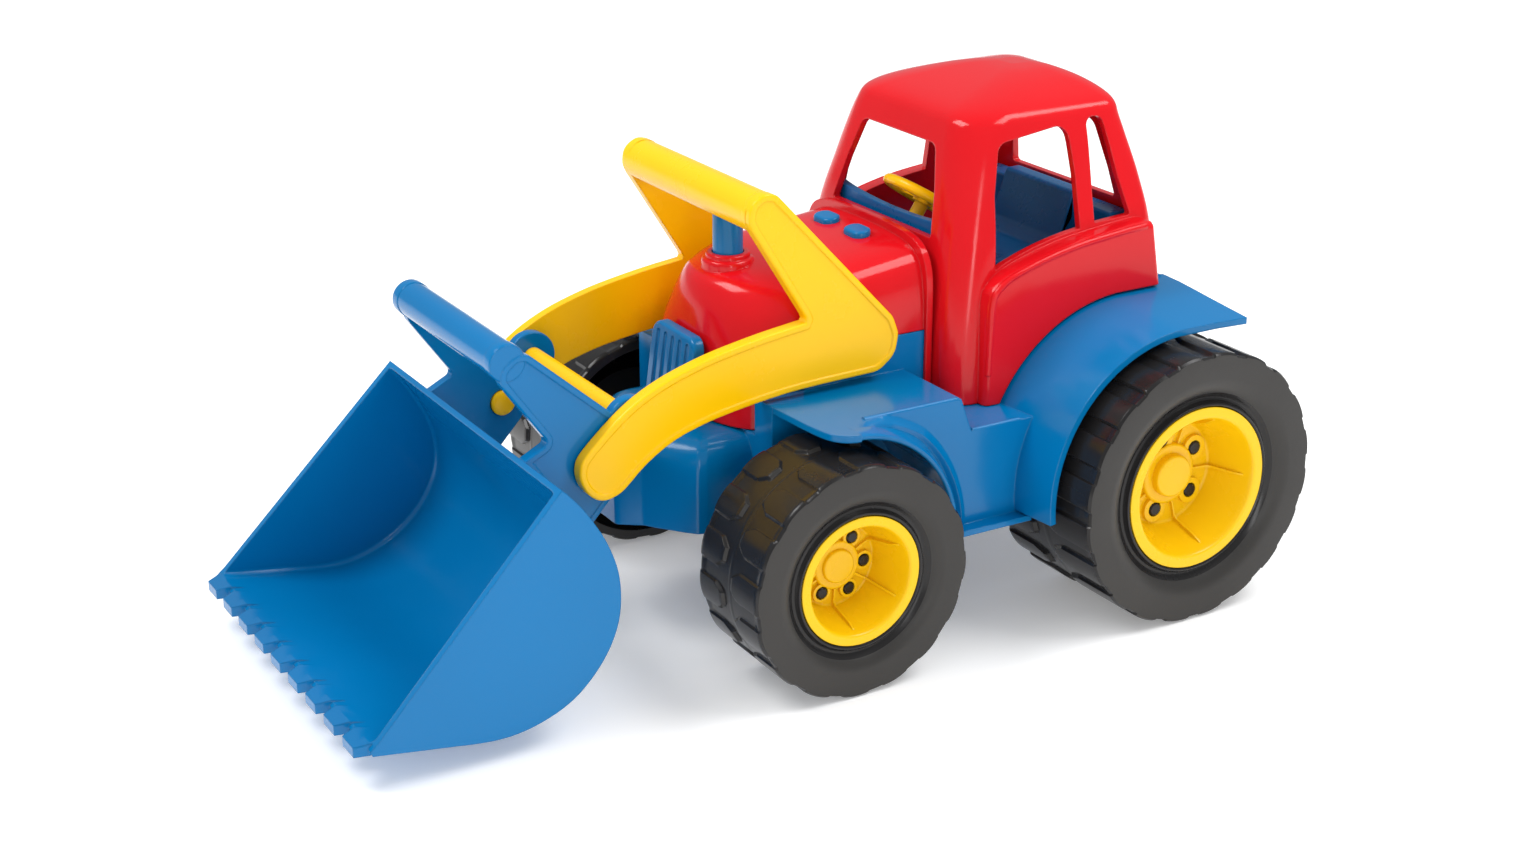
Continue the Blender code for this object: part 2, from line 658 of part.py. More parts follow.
def steering_spoke(turn):
    """Bar right across the wheel, turned by an angle in degrees."""
    c, s = math.cos(math.radians(turn)), math.sin(math.radians(turn))
    lengthwise = STEERING_ACROSS * c + STEERING_UP * s
    sideways = STEERING_UP * c - STEERING_ACROSS * s
    bar = [(-14.8, -1.6), (14.8, -1.6), (14.8, 1.6), (-14.8, 1.6)]
    return loft("spoke", [
        [tuple(Vector(STEERING_AT) + lengthwise * u + sideways * v + STEERING_AXIS * along)
         for u, v in bar]
        for along in (-1.2, 0.8)
    ])


def steering_wheel():
    wheel = steering_rim(ring_r=14.6, tube_r=1.8, ring_segments=24, tube_segments=8)
    join(wheel, steering_spoke(0.0))
    join(wheel, steering_spoke(90.0))
    join(wheel, steering_column("hub", 4.2, -2.5, 2.0))
    join(wheel, steering_column("column", 2.9, -26.0, -1.0))
    finish(wheel, "steering_wheel", "yellow", STEERING_AT)


# ---------------------------------------------------------------- loader
# Lift arm side view (y, z).
ARM = [
    (-1.9, 173.1), (20.0, 150.0), (47.8, 120.4), (49.2, 114.7), (47.4, 105.5), (45.0, 102.8),
    (40.5, 101.2), (6.0, 99.2), (-26.3, 97.7), (-37.0, 94.9), (-47.7, 91.3), (-57.6, 84.1),
    (-67.5, 75.5), (-71.0, 73.9), (-74.4, 73.7), (-78.4, 75.2), (-81.0, 78.4), (-83.4, 82.0),
    (-84.4, 85.7), (-84.0, 89.0), (-82.0, 91.7), (-75.0, 98.1), (-68.0, 107.1),
    (-57.0, 112.1), (-40.3, 116.1), (-29.0, 118.6), (8.5, 125.7), (7.7, 128.5),
    (-13.9, 162.9), (-15.3, 166.0), (-15.2, 170.0), (-13.0, 174.0), (-9.0, 175.8),
    (-5.0, 175.3),
]
ARM_IN, ARM_OUT = 44.1, 49.1

# Bucket side views (y, z): outside, and the hollow that opens it.
BUCKET = [
    (-102.8, 91.9), (-96.1, 83.6), (-88.8, 71.0), (-84.1, 57.4), (-86.0, 40.9),
    (-92.9, 28.3), (-104.7, 17.1), (-119.1, 10.9), (-134.5, 8.8), (-156.1, 12.1),
    (-179.0, 15.6), (-179.0, 17.4), (-176.0, 20.5), (-104.6, 93.6),
]
BUCKET_HOLLOW = [
    (-105.4, 91.6), (-99.0, 82.5), (-91.6, 69.4), (-87.2, 56.2), (-88.9, 42.0),
    (-95.1, 30.4), (-106.2, 19.9), (-119.9, 13.8), (-134.3, 11.7), (-155.8, 15.0),
    (-181.0, 18.9), (-200.0, 40.0), (-150.0, 120.0),
]
BUCKET_SIDE = 2.8
TEETH = 9
EDGE_HALF = 80.0
TOOTH_ROOT_Y, TOOTH_TIP_Y = -176.0, -184.1
TOOTH_FACES = [(14.9, 0.10), (19.6, 0.25)]  # z at the root and slope, bottom then top

# Lever plate behind the bucket (y, z).
LEVER = [
    (-102.6, 133.4), (-113.3, 125.3), (-93.5, 97.2), (-103.4, 92.2), (-97.0, 82.8),
    (-90.0, 70.0), (-85.4, 59.0), (-78.0, 62.6), (-66.5, 75.0), (-60.0, 90.0),
    (-60.0, 104.0), (-66.4, 108.0),
]
LEVER_IN, LEVER_OUT = 39.0, 43.6
GRIP_Y, GRIP_Z, GRIP_R, GRIP_IN_R, GRIP_HALF = -107.95, 129.35, 6.7, 4.2, 45.0
GRIP_START, GRIP_END = 37.0, 217.0  # degrees


def loader_arms():
    arms = along_x("arms", ARM, ARM_IN, ARM_OUT)
    join(arms, along_x("arm_right", ARM, -ARM_OUT, -ARM_IN))
    handle = arc_band(-7.9, 168.0, 7.85, 5.4, 40.4, 220.4, 11)
    join(arms, along_x("handle", handle, -46.0, 46.0))
    for side in SIDES:
        join(arms, rod_x("tip_pin", TIP_PIN_R, *span(side, 37.6, 46.0), TIP_Y, TIP_Z))
        join(arms, rod_x("lift_pin", LIFT_PIN_R, *span(side, 37.2, 46.0), LIFT_Y, LIFT_Z))
    finish(arms, "loader_arms", "yellow", (0, LIFT_Y, LIFT_Z))


def bucket_half(z):
    """Half width of the bucket, which widens towards the bottom."""
    drop = min(1.0, max(0.0, (92.0 - z) / 75.0))
    return 76.2 + 4.4 * drop


def bucket_loft(name, outline, inset):
    return loft(name, [
        [(side * (bucket_half(z) - inset), y, z) for y, z in outline] for side in (-1, 1)
    ])


def tooth(x):
    plan = [
        (x - 6.6, TOOTH_ROOT_Y), (x + 6.6, TOOTH_ROOT_Y),
        (x + 5.0, TOOTH_TIP_Y), (x - 5.0, TOOTH_TIP_Y),
    ]
    return loft("tooth", [
        [(px, y, root_z + (y - TOOTH_ROOT_Y) * slope) for px, y in plan]
        for root_z, slope in TOOTH_FACES
    ])


def bucket():
    shell = bucket_loft("bucket", BUCKET, 0.0)
    cut(shell, bucket_loft("cavity", BUCKET_HOLLOW, BUCKET_SIDE))
    pitch = 2 * EDGE_HALF / TEETH
    for k in range(TEETH):
        join(shell, tooth(-EDGE_HALF + pitch * (k + 0.5)))
    for side in SIDES:
        x0, x1 = span(side, LEVER_IN, LEVER_OUT)
        join(shell, along_x("lever", LEVER, x0, x1))
        join(shell, rod_x("ear", 9.8, x0, x1, TIE_Y, TIE_Z))
    grip = arc_band(GRIP_Y, GRIP_Z, GRIP_R, GRIP_IN_R, GRIP_START, GRIP_END, 9)
    join(shell, along_x("grip", grip, -GRIP_HALF, GRIP_HALF))
    # Half discs that close the ends of the grip.
    end = arc(GRIP_Y, GRIP_Z, GRIP_R, GRIP_START, GRIP_END, 9)
    for side in SIDES:
        join(shell, along_x("grip_end", end, *span(side, LEVER_IN, GRIP_HALF)))
    cut(shell, rod_x("tip_bore", TIP_PIN_R + GAP, -60, 60, TIP_Y, TIP_Z))
    cut(shell, rod_x("tie_bore", TIE_END_R + GAP, -60, 60, TIE_Y, TIE_Z, 20))
    finish(shell, "bucket", "blue", (0, TIP_Y, TIP_Z))


def tie_rod():
    rod = rod_x("tie", 4.0, -38.7, 38.7, TIE_Y, TIE_Z, 20)
    join(rod, rod_x("ends", TIE_END_R, -43.2, 43.2, TIE_Y, TIE_Z, 20))
    finish(rod, "bucket_tie_rod", "yellow", (0, TIP_Y, TIP_Z))


# ---------------------------------------------------------------- wheels
# Tyre, rim and cap are (x, radius) profiles. Pegs on the tyre pass through holes in the rim:
# they stand on a circle of radius peg_circle, from peg_x[0] to peg_x[1].
WHEELS = {
    "front": {
        "centre": (0, FRONT_Y, FRONT_Z),
        "segments": 28,
        "tyre": [
            (FRONT_IN, 43.4), (62.6, FRONT_R), (101.4, FRONT_R), (FRONT_OUT, 43.5),
            (FRONT_OUT, 30.0), (101.6, 27.6), (101.2, 25.2), (80.0, 23.3), (80.0, 9.6),
            (77.2, 9.6), (77.2, 26.2), (98.6, 28.6), (100.2, 31.0), (100.2, 41.4),
            (FRONT_IN, 41.4),
        ],
        "rim": [
            (100.9, 22.9), (100.9, 24.85), (80.3, 22.95), (80.3, 9.2), (56.6, 9.2),
            (56.6, FRONT_AXLE_R + GAP), (78.0, FRONT_AXLE_R + GAP), (78.0, 4.6),
            (85.6, 4.6), (85.9, 6.2), (82.9, 7.6), (82.9, 20.8),
        ],
        "cap": [(80.6, 0.4), (80.6, 4.3), (85.6, 4.3), (86.6, 3.2), (87.0, 0.4)],
        "pegs": 6, "peg_circle": 12.6, "peg_r": 2.1, "peg_x": (78.0, 85.0),
        "axle_r": FRONT_AXLE_R, "clip_x": (78.4, 80.2),
    },
    "rear": {
        "centre": (0, REAR_Y, REAR_Z),
        "segments": 30,
        "tyre": [
            (REAR_IN, 52.6), (57.9, REAR_R), (113.4, REAR_R), (REAR_OUT, 53.0),
            (REAR_OUT, 38.2), (113.9, 35.6), (113.4, 32.8), (91.0, 30.7), (91.0, 11.0),
            (88.0, 11.0), (88.0, 33.6), (110.6, 36.2), (112.3, 39.0), (112.3, 50.8),
            (REAR_IN, 50.8),
        ],
        "rim": [
            (113.1, 30.3), (113.1, 32.45), (91.3, 30.35), (91.3, 10.6), (56.6, 10.6),
            (56.6, REAR_AXLE_R + GAP), (88.6, REAR_AXLE_R + GAP), (88.6, 5.4),
            (94.8, 5.4), (95.1, 8.0), (94.1, 9.2), (94.1, 28.0),
        ],
        "cap": [(91.2, 0.4), (91.2, 5.1), (94.9, 5.1), (96.1, 3.8), (96.6, 0.4)],
        "pegs": 5, "peg_circle": 15.0, "peg_r": 2.6, "peg_x": (89.0, 96.4),
        "axle_r": REAR_AXLE_R, "clip_x": (89.0, 90.8),
    },
}
PEG_START = 62.0  # angle of the first peg, degrees


def peg_places(spec):
    """Centres (y, z) of the pegs."""
    _, y, z = spec["centre"]
    places = []
    for k in range(spec["pegs"]):
        angle = math.radians(PEG_START + 360.0 * k / spec["pegs"])
        places.append((y + spec["peg_circle"] * math.cos(angle),
                       z + spec["peg_circle"] * math.sin(angle)))
    return places


def tyre(spec, side, where):
    _, y, z = spec["centre"]
    segments = spec["segments"]
    flat_down = -math.pi / 2 + math.pi / segments  # rests a facet on the ground
    obj = turned("tyre", spec["tyre"], y, z, segments, side, flat_down, across_flats=True)
    for place in peg_places(spec):
        join(obj, rod_x("peg", spec["peg_r"], *span(side, *spec["peg_x"]), *place, 8))
    finish(obj, "tyre_" + where, "black", spec["centre"])


def rim(spec, side, where):
    _, y, z = spec["centre"]
    near, far = spec["peg_x"]
    obj = turned("rim", spec["rim"], y, z, 24, side)
    for place in peg_places(spec):
        hole_x = span(side, near + 1, far + 4)
        cut(obj, rod_x("peg_hole", spec["peg_r"] + 0.35, *hole_x, *place, 8))
    finish(obj, "rim_" + where, "yellow", spec["centre"])


def hub_cap(spec, side, where):
    _, y, z = spec["centre"]
    rings = [[(side * x, *point) for point in circle(y, z, r, 14)] for x, r in spec["cap"]]
    finish(loft("cap", rings), "hub_cap_" + where, "yellow", spec["centre"])


def axle_clip(spec, side, where):
    _, y, z = spec["centre"]
    near, far = spec["clip_x"]
    inner, outer = spec["axle_r"] + 0.2, spec["axle_r"] + 1.6
    profile = [(near, inner), (far, inner), (far, outer), (near, outer)]
    obj = turned("clip", profile, y, z, 14, side)
    finish(obj, "axle_clip_" + where, "steel", spec["centre"])


def axle(name, radius, half, y, z):
    finish(rod_x("axle", radius, -half, half, y, z, 20), name, "steel", (0, y, z))


# ---------------------------------------------------------------- build
chassis()
bonnet()
cab()
seat()
dashboard()
steering_wheel()
exhaust_stack()
for hand in SIDES:
    bonnet_plug(hand)
grille()
loader_arms()
bucket()
tie_rod()
for end_name, wheel_spec in WHEELS.items():
    for hand in SIDES:
        wheel_name = f"{end_name}_{SIDE_NAMES[hand]}"
        for build in (tyre, rim, hub_cap, axle_clip):
            build(wheel_spec, hand, wheel_name)
axle("front_axle", FRONT_AXLE_R, FRONT_AXLE_HALF, FRONT_Y, FRONT_Z)
axle("rear_axle", REAR_AXLE_R, REAR_AXLE_HALF, REAR_Y, REAR_Z)
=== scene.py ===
"""Looks for a toy front-loader tractor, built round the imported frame.

The tractor faces -Y with its left side at +X and stands on z = 0. Sizes are in millimetres,
with y measured from the front axle; metres() turns them into frame coordinates.
"""

import math
from types import SimpleNamespace

import bpy
import bmesh
from mathutils import Matrix, Vector


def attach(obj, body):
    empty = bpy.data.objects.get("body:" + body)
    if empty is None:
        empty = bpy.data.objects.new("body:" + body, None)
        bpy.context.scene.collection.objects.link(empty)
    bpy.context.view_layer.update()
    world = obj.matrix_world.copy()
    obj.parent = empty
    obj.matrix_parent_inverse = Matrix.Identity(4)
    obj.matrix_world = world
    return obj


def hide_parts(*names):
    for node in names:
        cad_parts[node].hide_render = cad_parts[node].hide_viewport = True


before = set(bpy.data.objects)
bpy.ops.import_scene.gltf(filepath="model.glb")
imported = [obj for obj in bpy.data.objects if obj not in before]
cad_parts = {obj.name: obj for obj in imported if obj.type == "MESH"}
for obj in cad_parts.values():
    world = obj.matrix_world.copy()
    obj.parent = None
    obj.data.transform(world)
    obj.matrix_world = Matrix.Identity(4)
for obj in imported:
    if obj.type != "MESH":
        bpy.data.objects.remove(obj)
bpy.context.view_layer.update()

MM = 0.001
TURN = 2 * math.pi
Y_SHIFT = -7.55                           # frame y of the front axle
WALL = 2.6                                # moulded wall thickness

# Axles: each wheel rests on the ground, so its radius is its axle's height.
FRONT_R, FRONT_Y, FRONT_BORE_R = 44.84, 0.0, 2.3
REAR_R, REAR_Y, REAR_BORE_R = 54.42, 144.5, 2.8

# Cross pins and bars of the loader.
LIFT_Y, LIFT_Z = 38.0, 104.8
TIP_Y, TIP_Z = -74.4, 82.5
TIE_Y, TIE_Z = -61.0, 98.6
GRIP_Y, GRIP_Z = -107.95, 129.35
HANDLE_Y, HANDLE_Z = -7.9, 168.0

# Parts that meet in several pieces.
STACK_Y = 3.6
PLUG_X, PLUG_Y = 10.9, 54.5
STEER_AT = (0.0, 92.6, 148.0)             # middle of the steering wheel before its lift
LEAN_Y, LEAN_Z = 0.552, 0.834             # direction of the steering column
UNDER_R = 64.8                            # underside of cab and seat, over the chassis hump


# ------------------------------------------------------------------ materials
def plastic(name, colour, rough, wear=0.12, bump=0.05, deep=0.88, soft=0.8):
    """Moulded plastic: slow colour drift, orange peel, uneven gloss, paler worn edges, scuffs.

    wear is the strength of the pale edges, deep the darkest share of the colour,
    and soft the shaded edge radius in mm.
    """
    mat = bpy.data.materials.new(name)
    mat.use_nodes = True
    nodes, links = mat.node_tree.nodes, mat.node_tree.links
    shader = nodes["Principled BSDF"]
    coord = nodes.new("ShaderNodeTexCoord")

    def noise(scale, detail, roughness=0.5):
        node = nodes.new("ShaderNodeTexNoise")
        node.inputs["Scale"].default_value = scale
        node.inputs["Detail"].default_value = detail
        node.inputs["Roughness"].default_value = roughness
        links.new(coord.outputs["Object"], node.inputs["Vector"])
        return node.outputs["Fac"]

    def remap(source, start, end):
        """Maps source so that each (from, to) pair in start and end matches."""
        node = nodes.new("ShaderNodeMapRange")
        for label, (from_value, to_value) in (("Min", start), ("Max", end)):
            node.inputs["From " + label].default_value = from_value
            node.inputs["To " + label].default_value = to_value
        links.new(source, node.inputs["Value"])
        return node.outputs["Result"]

    def mix(factor, low, high):
        node = nodes.new("ShaderNodeMix")
        node.data_type = "RGBA"
        links.new(factor, node.inputs["Factor"])
        for socket, value in ((node.inputs[6], low), (node.inputs[7], high)):
            if isinstance(value, tuple):
                socket.default_value = (*value, 1.0)
            else:
                links.new(value, socket)
        return node.outputs[2]

    def bumped(height, normal, strength, distance):
        node = nodes.new("ShaderNodeBump")
        node.inputs["Strength"].default_value = strength
        node.inputs["Distance"].default_value = distance
        links.new(height, node.inputs["Height"])
        links.new(normal, node.inputs["Normal"])
        return node.outputs["Normal"]

    dark = tuple(c * deep for c in colour)
    pale = tuple(min(1.0, c * 0.8 + 0.14) for c in colour)
    drift_mask = remap(noise(scale=9.0, detail=2.0), start=(0.3, 0.0), end=(0.7, 1.0))
    drift = mix(drift_mask, dark, colour)

    # Edges are where the rounded normal leaves the true one; wear on them is patchy.
    geometry = nodes.new("ShaderNodeNewGeometry")
    edge_round = nodes.new("ShaderNodeBevel")
    edge_round.samples = 6
    edge_round.inputs["Radius"].default_value = soft * MM
    dot = nodes.new("ShaderNodeVectorMath")
    dot.operation = "DOT_PRODUCT"
    links.new(edge_round.outputs["Normal"], dot.inputs[0])
    links.new(geometry.outputs["Normal"], dot.inputs[1])
    patchy = nodes.new("ShaderNodeMath")
    patchy.operation = "MULTIPLY"
    edges = remap(dot.outputs["Value"], start=(0.99, 0.0), end=(0.90, wear))
    patches = remap(noise(scale=150.0, detail=4.0, roughness=0.6),
                    start=(0.42, 0.0), end=(0.62, 1.0))
    links.new(edges, patchy.inputs[0])
    links.new(patches, patchy.inputs[1])
    links.new(mix(patchy.outputs["Value"], drift, pale), shader.inputs["Base Color"])

    smudge = noise(scale=38.0, detail=5.0, roughness=0.62)
    gloss = remap(smudge, start=(0.3, rough - 0.045), end=(0.7, rough + 0.07))
    links.new(gloss, shader.inputs["Roughness"])

    peel = noise(scale=420.0, detail=2.0)
    scuff = noise(scale=1300.0, detail=2.0)
    peeled = bumped(peel, edge_round.outputs["Normal"], strength=bump, distance=0.0004)
    scuffed = bumped(scuff, peeled, strength=bump * 0.5, distance=0.0001)
    links.new(scuffed, shader.inputs["Normal"])
    shader.inputs["IOR"].default_value = 1.46
    shader.inputs["Specular IOR Level"].default_value = 0.36
    shader.inputs["Coat Weight"].default_value = 0.0
    shader.inputs["Coat Roughness"].default_value = 0.08
    mat.diffuse_color = (*colour, 1.0)
    return mat


BLUE = plastic("moulded_blue", (0.0, 0.165, 0.42), rough=0.16, bump=0.03)
# Seat and dashboard: the body's blue with painted shade from the cab around them, darker and turned
# toward purple, plus a satin finish.
BLUE_SATIN_SHADED = plastic("moulded_blue_satin_painted_shade", (0.0, 0.125, 0.36), rough=0.28, bump=0.06)
RED = plastic("moulded_red", (0.68, 0.006, 0.011), rough=0.12, bump=0.02)
YELLOW = plastic("moulded_yellow", (1.0, 0.56, 0.0), rough=0.24, deep=0.95, bump=0.04)
RIM_YELLOW = plastic("moulded_yellow_rim", (0.86, 0.53, 0.003), rough=0.25, deep=0.94, soft=0.35)
TYRE = plastic("moulded_black", (0.016, 0.015, 0.015), rough=0.22, wear=0.03, soft=0.3)
TYRE_SIDE = plastic("moulded_black_satin", (0.034, 0.032, 0.030), rough=0.40, wear=0.02,
                    bump=0.12, soft=0.6)
STEEL = plastic("drawn_steel", (0.55, 0.55, 0.56), rough=0.28, wear=0.05, bump=0.12)
STEEL.node_tree.nodes["Principled BSDF"].inputs["Metallic"].default_value = 1.0


# ------------------------------------------------------------------ outlines
def arc(y, z, radius, start, end, count):
    """Points on an arc between two angles in degrees."""
    angles = [math.radians(start + (end - start) * k / (count - 1)) for k in range(count)]
    return [(y + radius * math.cos(a), z + radius * math.sin(a)) for a in angles]


def circle(x, y, radius, segments):
    return [(x + radius * math.cos(TURN * k / segments), y + radius * math.sin(TURN * k / segments))
            for k in range(segments)]


def mirrored(half):
    """Entries that start with x: the -x side in order, then the +x side back again."""
    return [(-x, *rest) for x, *rest in half] + [tuple(entry) for entry in reversed(half)]


def span(side, inner, outer):
    """The x range between two distances from the centre plane, low end first."""
    return sorted((side * inner, side * outer))


def spline(points, steps):
    """Catmull-Rom curve through the points, with this many steps to a span."""
    last = len(points) - 1
    out = []
    for i in range(last):
        near = [points[min(max(i + k, 0), last)] for k in (-1, 0, 1, 2)]
        for s in range(steps):
            t = s / steps
            out.append(tuple(
                0.5 * (2 * start + (end - before) * t
                       + (2 * before - 5 * start + 4 * end - after) * t * t
                       + (3 * start - before - 3 * end + after) * t ** 3)
                for before, start, end, after in zip(*near)))
    out.append(points[-1])
    return out


def round_corners(corners, steps):
    """Fillets a closed outline of (first, second, fillet radius) corners."""
    out = []
    for i, (*place, wanted) in enumerate(corners):
        corner = Vector(place)
        back = Vector(corners[i - 1][:2]) - corner
        ahead = Vector(corners[(i + 1) % len(corners)][:2]) - corner
        back_length, ahead_length = back.length, ahead.length
        back.normalize()
        ahead.normalize()
        angle = back.angle(ahead)
        if wanted <= 0 or angle > math.radians(172):
            out.append(tuple(corner))
            continue
        # A fillet takes at most 0.48 of either neighbouring edge.
        reach = min(wanted / math.tan(angle / 2), back_length * 0.48, ahead_length * 0.48)
        radius = reach * math.tan(angle / 2)
        middle = (back + ahead).normalized()
        centre = corner + middle * (radius / math.sin(angle / 2))
        start = corner + back * reach - centre
        end = corner + ahead * reach - centre
        first = math.atan2(start.y, start.x)
        sweep = math.atan2(end.y, end.x) - first
        while sweep > math.pi:
            sweep -= 2 * math.pi
        while sweep < -math.pi:
            sweep += 2 * math.pi
        for k in range(steps + 1):
            t = first + sweep * k / steps
            out.append((centre.x + radius * math.cos(t), centre.y + radius * math.sin(t)))
    return out


def smoothstep(low, high, x):
    t = min(1.0, max(0.0, (x - low) / (high - low)))
    return t * t * (3 - 2 * t)


# ------------------------------------------------------------------ solids
def metres(x, y, z):
    return Vector((x * MM, (y + Y_SHIFT) * MM, z * MM))


def loft(name, rings, loop=False):
    """A solid through rings of points, capped at both ends or, with loop, joined end to end."""
    rows, count = len(rings), len(rings[0])
    faces = []
    for k in range(rows if loop else rows - 1):
        here, there = k * count, (k + 1) % rows * count
        for j in range(count):
            n = (j + 1) % count
            faces.append((here + j, here + n, there + n, there + j))
    if not loop:
        faces.append(tuple(range(count)))
        faces.append(tuple(range((rows - 1) * count, rows * count)))
    mesh = bpy.data.meshes.new(name)
    mesh.from_pydata([metres(*point) for ring in rings for point in ring], [], faces)
    bm = bmesh.new()
    bm.from_mesh(mesh)
    bmesh.ops.remove_doubles(bm, verts=bm.verts, dist=1e-7)
    bmesh.ops.recalc_face_normals(bm, faces=bm.faces)
    bm.to_mesh(mesh)
    bm.free()
    obj = bpy.data.objects.new(name, mesh)
    bpy.context.scene.collection.objects.link(obj)
    return obj


def along_x(name, outline, start, end):
    return loft(name, [[(x, y, z) for y, z in outline] for x in (start, end)])


def along_y(name, outline, start, end):
    return loft(name, [[(x, y, z) for x, z in outline] for y in (start, end)])


def along_z(name, outline, start, end):
    return loft(name, [[(x, y, z) for x, y in outline] for z in (start, end)])


def box(name, x0, x1, y0, y1, z0, z1):
    return along_x(name, [(y0, z0), (y1, z0), (y1, z1), (y0, z1)], x0, x1)


def turned_x(name, stations, y, z, segments, side=1):
    """A solid turned about an X axis from (x, radius) stations."""
    return loft(name, [[(side * x, *point) for point in circle(y, z, radius, segments)]
                       for x, radius in stations])


def rod_x(name, radius, x0, x1, y, z, segments):
    return turned_x(name, [(x0, radius), (x1, radius)], y, z, segments)


def rod_z(name, radius, x, y, z0, z1, segments=48):
    return along_z(name, circle(x, y, radius, segments), z0, z1)


def turned_z(name, profile, x, y):
    """A solid turned about a Z axis from a (radius, z) profile."""
    return loft(name, [[(*point, z) for point in circle(x, y, max(radius, 0.02), 64)]
                       for radius, z in profile])


def raised_plate(name, outline, x_in, x_out, rounding):
    """A plate with a rounded outer edge and an outer face sunk inside a raised border."""
    border, sink, slope, steps = 1.5, 0.5, 0.25, 5
    way = 1 if x_out > x_in else -1
    obj = along_x(name, outline, x_in, x_out - way * rounding)
    bm = bmesh.new()
    bm.from_mesh(obj.data)
    face = max((f for f in bm.faces if len(f.verts) > 8),
               key=lambda f: f.calc_center_median().x * way)

    def inset(thickness, depth):
        bmesh.ops.inset_region(bm, faces=[face], thickness=thickness * MM, depth=depth * MM,
                               use_even_offset=True)

    for k in range(steps):
        start, end = math.radians(90 * k / steps), math.radians(90 * (k + 1) / steps)
        inset(rounding * (math.cos(start) - math.cos(end)),
              rounding * (math.sin(end) - math.sin(start)))
    inset(border, 0.0)
    inset(slope, -sink)
    bm.to_mesh(obj.data)
    bm.free()
    return obj


# ------------------------------------------------------------------ mesh steps
def bake(obj):
    """Applies the object's modifiers."""
    graph = bpy.context.evaluated_depsgraph_get()
    made = bpy.data.meshes.new_from_object(obj.evaluated_get(graph))
    obj.modifiers.clear()
    obj.data = made


def closed(obj):
    bm = bmesh.new()
    bm.from_mesh(obj.data)
    good = all(len(edge.link_faces) == 2 for edge in bm.edges)
    bm.free()
    return good


def boolean(target, tool, operation):
    both = closed(target) and closed(tool)
    mod = target.modifiers.new("step", "BOOLEAN")
    mod.operation = operation
    mod.solver = "MANIFOLD" if both else "EXACT"
    mod.object = tool
    bake(target)
    bpy.data.objects.remove(tool, do_unlink=True)


def join(target, *tools):
    for tool in tools:
        boolean(target, tool, "UNION")


def cut(target, *tools):
    for tool in tools:
        boolean(target, tool, "DIFFERENCE")


def tidy(obj, merge, flat):
    """Merges points closer than merge (mm) and dissolves edges flatter than flat (degrees)."""
    bm = bmesh.new()
    bm.from_mesh(obj.data)
    bmesh.ops.remove_doubles(bm, verts=bm.verts, dist=merge * MM)
    bmesh.ops.dissolve_degenerate(bm, edges=bm.edges, dist=merge * 0.5 * MM)
    bmesh.ops.dissolve_limit(bm, angle_limit=math.radians(flat), verts=bm.verts, edges=bm.edges)
    bm.to_mesh(obj.data)
    bm.free()


def soften(obj, width, segments, angle, merge=0.03, flat=0.6):
    """Rounds the moulded edges."""
    tidy(obj, merge, flat)
    mod = obj.modifiers.new("round", "BEVEL")
    mod.width = width * MM
    mod.segments = segments
    mod.limit_method = "ANGLE"
    mod.angle_limit = math.radians(angle)
    mod.use_clamp_overlap = True
    mod.miter_outer = "MITER_SHARP"
    bake(obj)


def smooth(obj, angle):
    for face in obj.data.polygons:
        face.use_smooth = True
    obj.data.set_sharp_from_angle(angle=math.radians(angle))
    mod = obj.modifiers.new("normals", "WEIGHTED_NORMAL")
    mod.keep_sharp = True
    mod.weight = 60
    bake(obj)


def dress(obj, *materials):
    obj.data.materials.clear()
    for mat in materials:
        obj.data.materials.append(mat)


def register(obj, node, slot, body="chassis", suffix="_moulding", angle=40):
    """Names a finished piece after its CAD node, smooths it, ties it to its body and hides the CAD
    node.
    """
    obj.name = node + suffix
    obj.data.name = node + suffix
    smooth(obj, angle)
    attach(obj, body)
    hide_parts(node)


def publish(obj, node, mat, slot, **options):
    dress(obj, mat)
    register(obj, node, slot, **options)


# ------------------------------------------------------------------ chassis
SIDE_X, CENTRE_X = 80.0, 52.0             # half widths of the body and its centre block
DECK_Z, STEP_Z, SILL_Z = 97.0, 83.5, 44.0
RISER_Y, RISER_RUN = 56.3, 5.0            # the slope from deck down to step
NOSE_Y = -8.0                             # front of the centre block
FRONT_ARCH_R, REAR_ARCH_R, HUMP_R = 50.0, 60.5, 64.5

# Nose outline seen from above, left half: x, y.
NOSE = [(38, -4.0), (38, -27.5), (37, -31.0), (33, -34.5), (23, -42.0), (19, -44.5),
        (15.5, -49.5), (13, -53.0)]
# Nose levels: z, scale of the outline.
NOSE_TOP = [(64.0, 1.0), (69.0, 0.998), (73.0, 0.988), (76.0, 0.964), (78.4, 0.925),
            (80.1, 0.872), (81.1, 0.81), (81.6, 0.735), (81.8, 0.65), (81.85, 0.5)]
NOSE_HOLLOW = [(40.0, 0.935), (70.0, 0.935), (74.0, 0.9), (77.0, 0.82)]
# Front wing edge seen from above: x, y.
WING_EDGE = [(57, -7.6), (67.7, -6.8), (78.0, -5.9), (85.6, -4.2), (90.0, -1.0), (92.0, 3.0)]
# Rear wing: x, outer radius.
REAR_WING = [(50.0, 64.3), (60.0, 63.9), (70.0, 63.0), (80.0, 62.0), (90.0, 61.1), (100.0, 60.2)]


def side_outline(front_arch, rear_arch, inset):
    """The body from the side, between the wheel arches."""
    deck, riser, step = DECK_Z - inset, RISER_Y - inset, STEP_Z - inset
    low = math.degrees(math.asin((SILL_Z - FRONT_R) / front_arch))
    high = math.degrees(math.asin(min(0.999, (deck - 3 - FRONT_R) / front_arch)))
    front = arc(FRONT_Y, FRONT_R, front_arch, low, high, 28)
    low = 180.0 + math.degrees(math.asin((REAR_R - SILL_Z) / rear_arch))
    high = 180.0 - math.degrees(math.asin((step - REAR_R) / rear_arch))
    rear = arc(REAR_Y, REAR_R, rear_arch, high, low, 28)
    return front + [(front[-1][0] - 6, deck), (riser, deck), (riser + RISER_RUN, step)] + rear


